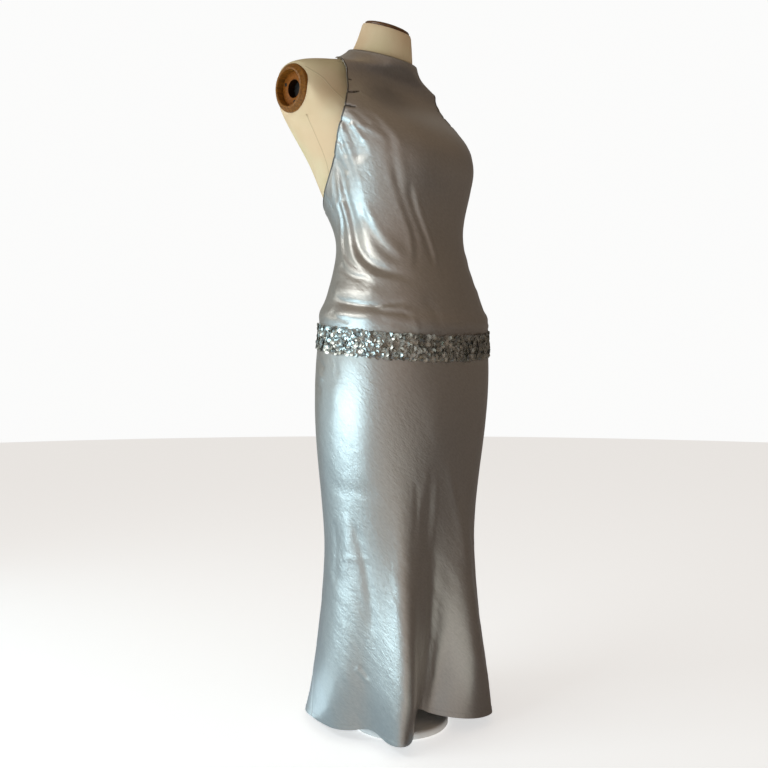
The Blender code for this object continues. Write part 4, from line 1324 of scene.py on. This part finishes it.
class GOWN_OT_form(Maker, bpy.types.Operator):
    """Make the canvas form with its seams and its arm seats"""
    bl_idname = "gown.form"
    bl_label = "Canvas form"

    def execute(self, context):
        heights = np.concatenate([np.linspace(FORM_BOTTOM, 1.16, 90), np.linspace(1.1645, SHOULDER_HIGH, 48),
                                  np.linspace(1.307, 1.332, 22), np.linspace(1.336, FORM_TOP, 14)])
        angles = np.arange(0, 360, 2.0)
        points = np.array([form_point(angles, height) for height in heights])
        for side, _ in HANDS:
            centre, axis = arm_frame(side)
            past = (points - np.array(centre)) @ np.array(axis)
            past = np.where(points[..., 2] > 1.12, past, -1.0)
            soft = 0.004
            cut = np.where(past > -soft, (past + soft) - soft * (1 - np.exp(-(past + soft) / soft)), 0.0)
            points = points - np.array(axis) * cut[..., None]
        rim = smooth((heights - (FORM_TOP - 0.004)) / 0.004)
        middle = points.mean(axis=1, keepdims=True)
        points = middle + (points - middle) * (1 - 0.02 * rim ** 2)[:, None, None]
        form = grid_object("dress_form_canvas", points, closed=True)
        close_up(form, turn_out=False)
        cutters = []
        for side, _ in HANDS:
            centre, axis = arm_frame(side)
            deselect()
            bpy.ops.mesh.primitive_cylinder_add(vertices=96, radius=ARM_RING_RADIUS + 0.0002, depth=0.06)
            cutters.append(place(bpy.context.object, centre + axis * (0.03 - ARM_POCKET_DEPTH), axis))
        deselect()
        bpy.ops.mesh.primitive_cylinder_add(vertices=64, radius=POLE_BORE, depth=0.24)
        cutters.append(place(bpy.context.object, Vector((0, 0, FORM_BOTTOM)), (0, 0, 1)))
        for cutter in cutters:
            modify(form, "BOOLEAN", operation="DIFFERENCE", object=cutter, solver="EXACT")
            bpy.data.objects.remove(cutter)
        alone(form)
        bpy.ops.object.shade_smooth_by_angle(angle=radians(40))
        finish_piece(form, "canvas", "canvas", "form_torso")

        for seam in FORM_SEAMS:
            finish_piece(seam_welt("canvas_seam_" + seam.name, seam_line(seam.path)), "seam", "canvas")
        return {"FINISHED"}


def arm_frame(side):
    """Centre and outward axis of an arm plate."""
    centre = Vector((side * ARM_CENTRE[0], ARM_CENTRE[1], ARM_CENTRE[2]))
    down = radians(ARM_TURN_DOWN)
    return centre, Vector((side * cos(down), 0, -sin(down)))


def seam_line(path, step=0.004):
    """A seam's path as evenly spaced (angle, height) pairs."""
    knots = np.array(path, float)
    run = run_along(np.hypot(np.radians(np.diff(knots[:, 0])) * BODY_RADIUS, np.diff(knots[:, 1])))
    return evenly(knots, run, max(8, int(run[-1] / step)))


def seam_welt(name, line, half=0.0009, tall=0.0004):
    """A narrow sewn welt that lies on the form along a line."""
    step = np.gradient(line, axis=0) * (BODY_RADIUS * pi / 180, 1)
    step = step / np.linalg.norm(step, axis=-1, keepdims=True)
    rows = []
    order = np.arange(len(line))
    ends = np.minimum(1.0, np.minimum(order, order[::-1]) / 3.0)
    for share, out in ((-1, -0.0003), (-0.6, tall * 0.7), (0, tall), (0.6, tall * 0.7), (1, -0.0003)):
        angle = line[:, 0] + share * half * -step[:, 1] / (BODY_RADIUS * pi / 180)
        height = line[:, 1] + share * half * step[:, 0]
        rows.append(form_point(angle, height, (out + 0.0005) * ends - 0.0005))
    points = np.array(rows)
    closed = np.concatenate([points, points[:1] * 0.5 + points[-1:] * 0.5
                             - grid_normals(points)[2:3] * 0.0006])
    made = grid_object(name, np.swapaxes(closed, 0, 1), closed=True)
    close_up(made)
    return made


class GOWN_OT_arm_plates(Maker, bpy.types.Operator):
    """Turn the wooden arm rings and their sunk socket plates"""
    bl_idname = "gown.arm_plates"
    bl_label = "Arm plates"

    def execute(self, context):
        colours = context.scene.gown_colours
        back = -ARM_POCKET_DEPTH + CLEARANCE
        for side, name in HANDS:
            centre, axis = arm_frame(side)
            turn = (0, radians(side * (90 - ARM_TURN_DOWN)), 0)
            ring_wood = wood_finish("ring_wood_" + name, colours.ring_wood, 0.42, centre, turn, 0.08, 0.25)
            # the socket plate's wood gets painted shade inside its bore
            plate_wood = wood_finish("plate_wood_" + name, colours.plate_wood, 0.55, centre, turn, 0.02, 0.1,
                                     ARM_HOLE_RADIUS + 0.0006)
            profile = [(ARM_RING_INNER, back), (ARM_RING_RADIUS, back), (ARM_RING_RADIUS, 0.0012),
                       (ARM_RING_RADIUS - 0.0006, 0.0026), (ARM_RING_RADIUS - 0.002, 0.0036),
                       *((ARM_RING_INNER + out, ARM_RING_PROUD - under) for out, under in (
                           (0.006, 0.0022), (0.0052, 0.001), (0.0036, 0), (0.0016, 0), (0.0003, 0.0012),
                           (0, 0.003)))]
            ring = place(turned("arm_ring_wood_" + name, profile, ring=True), centre, axis)
            finish_piece(ring, ring_wood, "turned_wood", "arm_ring_" + name)
            rim = ARM_RING_INNER - CLEARANCE
            profile = [(ARM_HOLE_RADIUS, back), (rim, back), (rim, -ARM_SOCKET_SUNK - 0.0008),
                       (rim - 0.001, -ARM_SOCKET_SUNK), (ARM_HOLE_RADIUS + 0.0016, -ARM_SOCKET_SUNK),
                       (ARM_HOLE_RADIUS + 0.0005, -ARM_SOCKET_SUNK - 0.0005),
                       (ARM_HOLE_RADIUS, -ARM_SOCKET_SUNK - 0.0016)]
            plate = place(turned("arm_socket_wood_" + name, profile, ring=True), centre, axis)
            finish_piece(plate, plate_wood, "dark_wood", "arm_socket_" + name)
            # three countersunk screw holes, and the bottom of the bore, as dark pieces of painted shade
            up = Vector((0, 0, 1))
            up = (up - axis * up.dot(axis)).normalized()
            across = axis.cross(up)
            for k, clock in enumerate((180, 300, 60)):
                spot = centre + (up * cos(radians(clock)) + across * sin(radians(clock))) * ARM_SCREW_CIRCLE
                cup = turned("screw_seat_%s_%d" % (name, k + 1),
                             [(0.001, -0.0004), (0.0031, 0.0001), (0.0035, 0.0004), (0.0031, 0.0007),
                              (0.0019, 0.0003), (0.0008, 0.0001)], steps=28)
                place(cup, spot + axis * (-ARM_SOCKET_SUNK - 0.0001), axis)
                finish_piece(cup, "hole", "dark_wood")
            bottom = turned("bore_bottom_" + name, [(0.004, -0.002), (ARM_HOLE_RADIUS - 0.0004, -0.002),
                                                    (ARM_HOLE_RADIUS - 0.0004, 0.0), (0.004, -0.0006)], steps=64)
            place(bottom, centre + axis * (back + 0.0026), axis)
            finish_piece(bottom, "hole", "dark_wood")
        return {"FINISHED"}


class GOWN_OT_neck_cap(Maker, bpy.types.Operator):
    """Turn the domed wooden cap of the neck"""
    bl_idname = "gown.neck_cap"
    bl_label = "Neck cap"

    def execute(self, context):
        front, side, back = (Vector(p.tolist()) for p in form_point(np.array([0.0, 90.0, 180.0]), FORM_TOP))
        centre = (front + back) / 2
        up = facing(side - centre, back - centre, Vector((0, 0, 1)))
        profile = [(0.041, 0.0003), (0.044, 0.0003), (0.0461, 0.0013), (0.0465, 0.0028), (0.046, 0.0046),
                   (0.044, 0.0063), (0.039, 0.0079), (0.031, 0.0094), (0.02, 0.0105), (0.008, 0.0111),
                   (0.002, 0.0112)]
        cap = place(turned("neck_cap_wood", profile), centre, up)
        wood = wood_finish("cap_wood", context.scene.gown_colours.dark_wood, 0.35, centre,
                           (radians(90), 0, 0), 0.5)
        finish_piece(cap, wood, "dark_wood", "neck_cap")
        return {"FINISHED"}


def span(node):
    """A node's lowest and highest height, and half its width."""
    low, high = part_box(node)
    return low.z, high.z, (high.x - low.x) / 2


class GOWN_OT_stand(Maker, bpy.types.Operator):
    """Turn the pole, its flange and collar, and the round base"""
    bl_idname = "gown.stand"
    bl_label = "Stand"

    def execute(self, context):
        low, high, radius = span("stand_pole")
        pole = turned("stand_pole_steel", [(radius, low), (radius, high)], steps=64, bevel=0.0008)
        finish_piece(pole, "steel", "steel", "stand_pole")

        inner, sleeve = radius + CLEARANCE, radius + 0.006
        low, collar_top, wide = span("stand_collar")
        profile = [(inner, low), (wide, low), (wide, low + 0.008), (wide - 0.006, low + 0.0145),
                   (radius + 0.0085, low + 0.03), (sleeve, low + 0.038), (sleeve, collar_top), (inner, collar_top)]
        collar = turned("stand_collar_enamel", profile, steps=72, ring=True, bevel=0.001)
        finish_piece(collar, "paint", "stand_paint", "stand_collar")

        low, high, wide = span("pole_flange")
        neck, under = radius + 0.005, high - 0.006
        profile = [(inner, low), (neck, low), (neck, under), (wide, under), (wide, high), (inner, high)]
        flange = turned("pole_flange_steel", profile, steps=72, ring=True, bevel=0.0006)
        finish_piece(flange, "steel", "steel", "pole_flange")
        profile = [(0.001, 0.0012), (0.004, 0.0012), (0.0042, 0.0006), (0.0034, -0.0004), (0.0018, -0.0008)]
        for k in range(4):
            turn = radians(45 + 90 * k)
            head = turned("flange_screw_%d" % (k + 1), profile, steps=24)
            place(head, Vector((cos(turn) * 0.034, sin(turn) * 0.034, high - 0.0068)), (0, 0, 1))
            finish_piece(head, "steel", "steel")

        low, high, wide = span("stand_base")
        foot = ((0.006, 0.001), (0.0035, 0), (0.001, 0.0004), (0, 0.002))
        rim = ((0, 0.0045), (0.0008, 0.0022), (0.003, 0.0005), (0.006, 0), (0.02, 0), (0.022, 0.0006), (0.024, 0))
        profile = [(0.03, low + 0.001), *((wide - inset, low + up) for inset, up in foot),
                   *((wide - inset, high - down) for inset, down in rim), (0.014, high)]
        finish_piece(turned("stand_base_enamel", profile, steps=128), "paint", "stand_paint", "stand_base")
        profile = [(0.0008, 0), (0.0022, 0), (0.0025, 0.003), (0.0022, 0.0036), (0.0008, 0.0032)]
        screw = turned("collar_screw", profile, steps=24)
        place(screw, Vector((0, -radius - 0.0055, collar_top - 0.004)), (0, -1, 0))
        finish_piece(screw, "steel", "steel")
        return {"FINISHED"}


# the room's brightness round the horizon, seen from below and from above
Tone = namedtuple("Tone", "angle low high")
ROOM_TONES = [Tone(*row) for row in (
    (-180, (0.24, 0.33, 0.41), (0.25, 0.25, 0.23)),
    (-150, (0.22, 0.32, 0.4), (0.25, 0.245, 0.225)),
    (-128, (0.22, 0.31, 0.38), (0.25, 0.245, 0.225)),
    (-84, (0.34, 0.39, 0.42), (0.34, 0.36, 0.36)),
    (-60, (0.47, 0.44, 0.43), (0.47, 0.44, 0.43)),
    (-31, (0.34, 0.32, 0.3), (0.33, 0.26, 0.22)),
    (10, (0.064, 0.047, 0.04), (0.115, 0.086, 0.065)),
    (50, (0.06, 0.045, 0.038), (0.115, 0.089, 0.068)),
    (102, (0.07, 0.056, 0.049), (0.122, 0.1, 0.084)),
    (132, (0.36, 0.37, 0.38), (0.34, 0.34, 0.32)),
    (155, (0.28, 0.33, 0.39), (0.27, 0.27, 0.25)),
    (180, (0.24, 0.33, 0.41), (0.25, 0.25, 0.23)),
)]
# the window's panes, upright and facing the gown
Lamp = namedtuple("Lamp", "name angle low high wide radiance colour")
LAMPS = [
    Lamp("window", -104, 0.06, 0.62, 1.6, 6.4, (0.56, 0.83, 1)),
    Lamp("window_side", -148, 0.02, 0.74, 1.2, 0.8, (0.56, 0.83, 1)),
    Lamp("window_mid", -145, 1.1, 1.62, 0.75, 1.2, (0.93, 1, 0.98)),
    Lamp("window_high", -106, 1.55, 2.5, 1.6, 4.2, (0.9, 0.97, 1)),
]
# light sent up by the floor
Glow = namedtuple("Glow", "name angle distance wide deep radiance colour")
GLOWS = [
    Glow("glow_right", -36, 0.78, 1, 0.8, 0.26, (0.86, 1, 1)),
    Glow("glow_left", -125, 0.8, 1.2, 1.2, 0.16, (0.54, 0.8, 1)),
    Glow("glow_corner", -133, 0.36, 0.26, 0.26, 1.1, (0.6, 0.84, 1)),
]


class GOWN_OT_studio(Maker, bpy.types.Operator):
    """Set the pale floor, the soft window and room light, and the camera"""
    bl_idname = "gown.studio"
    bl_label = "Studio"

    def area_light(self, name, wide, tall, radiance, colour):
        """A soft box of an even brightness."""
        light = bpy.data.lights.new(name, "AREA")
        light.shape = "RECTANGLE"
        light.size, light.size_y = wide, tall
        light.energy = pi * radiance * wide * tall
        light.color = colour
        made = bpy.data.objects.new(name, light)
        bpy.context.scene.collection.objects.link(made)
        return made

    def execute(self, context):
        scene = context.scene
        deselect()
        bpy.ops.mesh.primitive_circle_add(vertices=96, radius=9.0, fill_type="NGON", location=(0, 0, 0))
        floor = context.object
        floor.name = "studio_floor"
        pale = Finish("studio_floor", roughness=0.8, specular_ior_level=0.2, base_color=(0.88, 0.88, 0.87),
                      emission_color=(1.0, 1.0, 1.0), emission_strength=0.6)
        floor.data.materials.append(pale.material)
        floor.visible_glossy = False

        world = bpy.data.worlds.new("room")
        world.use_nodes = True
        scene.world = world
        room = Nodes(world.node_tree)
        side, ahead, rise = room.split(room.add("TexCoord", output="Generated"))
        turn = side.maths("ARCTAN2", side, ahead * -1)
        share = room.add("MapRange", values={"Value": turn, "From Min": -pi, "From Max": pi})
        low, high = (room.add("ValToRGB", {"stops": [((tone.angle + 180) / 360, getattr(tone, level))
                                                     for tone in ROOM_TONES]}, {0: share})
                     for level in ("low", "high"))
        level = room.add("MapRange", values={"Value": rise, "From Min": -0.2, "From Max": -0.06})
        ceiling = room.add("MapRange", values={"Value": rise, "From Min": 0.45, "From Max": 0.95})
        light, output = (world.node_tree.nodes[name] for name in ("Background", "World Output"))
        room.join(room.mix(ceiling, room.mix(level, low, high), (0.22, 0.165, 0.115)), light.inputs["Color"])
        plain = room.add("Background", values={"Color": (0.97, 0.97, 0.965)})
        seen = room.add("LightPath", output="Is Camera Ray")
        room.join(room.add("MixShader", values={0: seen, 1: Socket(room, light.outputs[0]), 2: plain}),
                  output.inputs["Surface"])

        for lamp in LAMPS:
            a = radians(lamp.angle)
            made = self.area_light(lamp.name, lamp.wide, lamp.high - lamp.low, lamp.radiance, lamp.colour)
            made.location = (2 * sin(a), -2 * cos(a), (lamp.low + lamp.high) / 2)
            made.rotation_euler = (pi / 2, 0, a)
        for glow in GLOWS:
            a = radians(glow.angle)
            made = self.area_light(glow.name, glow.wide, glow.deep, glow.radiance, glow.colour)
            made.location = (sin(a) * glow.distance, -cos(a) * glow.distance, 0.012)
            made.rotation_euler = (pi, 0, 0)
            made.visible_camera = False

        camera = bpy.data.objects.new("camera", bpy.data.cameras.new("camera"))
        camera.data.lens = 38.55
        camera.data.sensor_width = 36
        camera.location = (-1.2098, -1.1225, 0.675)
        camera.rotation_euler = (radians(90), 0, radians(-46))
        scene.collection.objects.link(camera)
        scene.camera = camera
        scene.view_settings.view_transform = "Standard"
        return {"FINISHED"}


class GOWN_PT_panel(bpy.types.Panel):
    """The gown's operators and settings, in the sidebar"""
    bl_label = "Halter gown"
    bl_idname = "GOWN_PT_panel"
    bl_space_type = "VIEW_3D"
    bl_region_type = "UI"
    bl_category = "Gown"

    def draw(self, context):
        for group in (context.scene.gown_sizes, context.scene.gown_colours):
            column = self.layout.column(align=True)
            for name in group.__annotations__:
                column.prop(group, name)
        for operator in OPERATORS:
            self.layout.operator(operator.bl_idname)


OPERATORS = (GOWN_OT_studio, GOWN_OT_bodice, GOWN_OT_skirt, GOWN_OT_edges, GOWN_OT_neck, GOWN_OT_sequins,
             GOWN_OT_stitches, GOWN_OT_form, GOWN_OT_arm_plates, GOWN_OT_neck_cap, GOWN_OT_stand)
CLASSES = (GownSizes, GownColours, *OPERATORS, GOWN_PT_panel)


def register():
    """Registers every class and the two groups of settings."""
    for made in CLASSES:
        bpy.utils.register_class(made)
    bpy.types.Scene.gown_sizes = PointerProperty(type=GownSizes)
    bpy.types.Scene.gown_colours = PointerProperty(type=GownColours)


def unregister():
    """Takes the settings and the classes away again."""
    del bpy.types.Scene.gown_colours
    del bpy.types.Scene.gown_sizes
    for made in reversed(CLASSES):
        bpy.utils.unregister_class(made)


def main():
    """Makes every piece in order."""
    register()
    for operator in OPERATORS:
        group, name = operator.bl_idname.split(".")
        if "FINISHED" not in getattr(getattr(bpy.ops, group), name)():
            raise RuntimeError(operator.bl_label + " was not made")
    deselect()


if __name__ == "__main__":
    main()
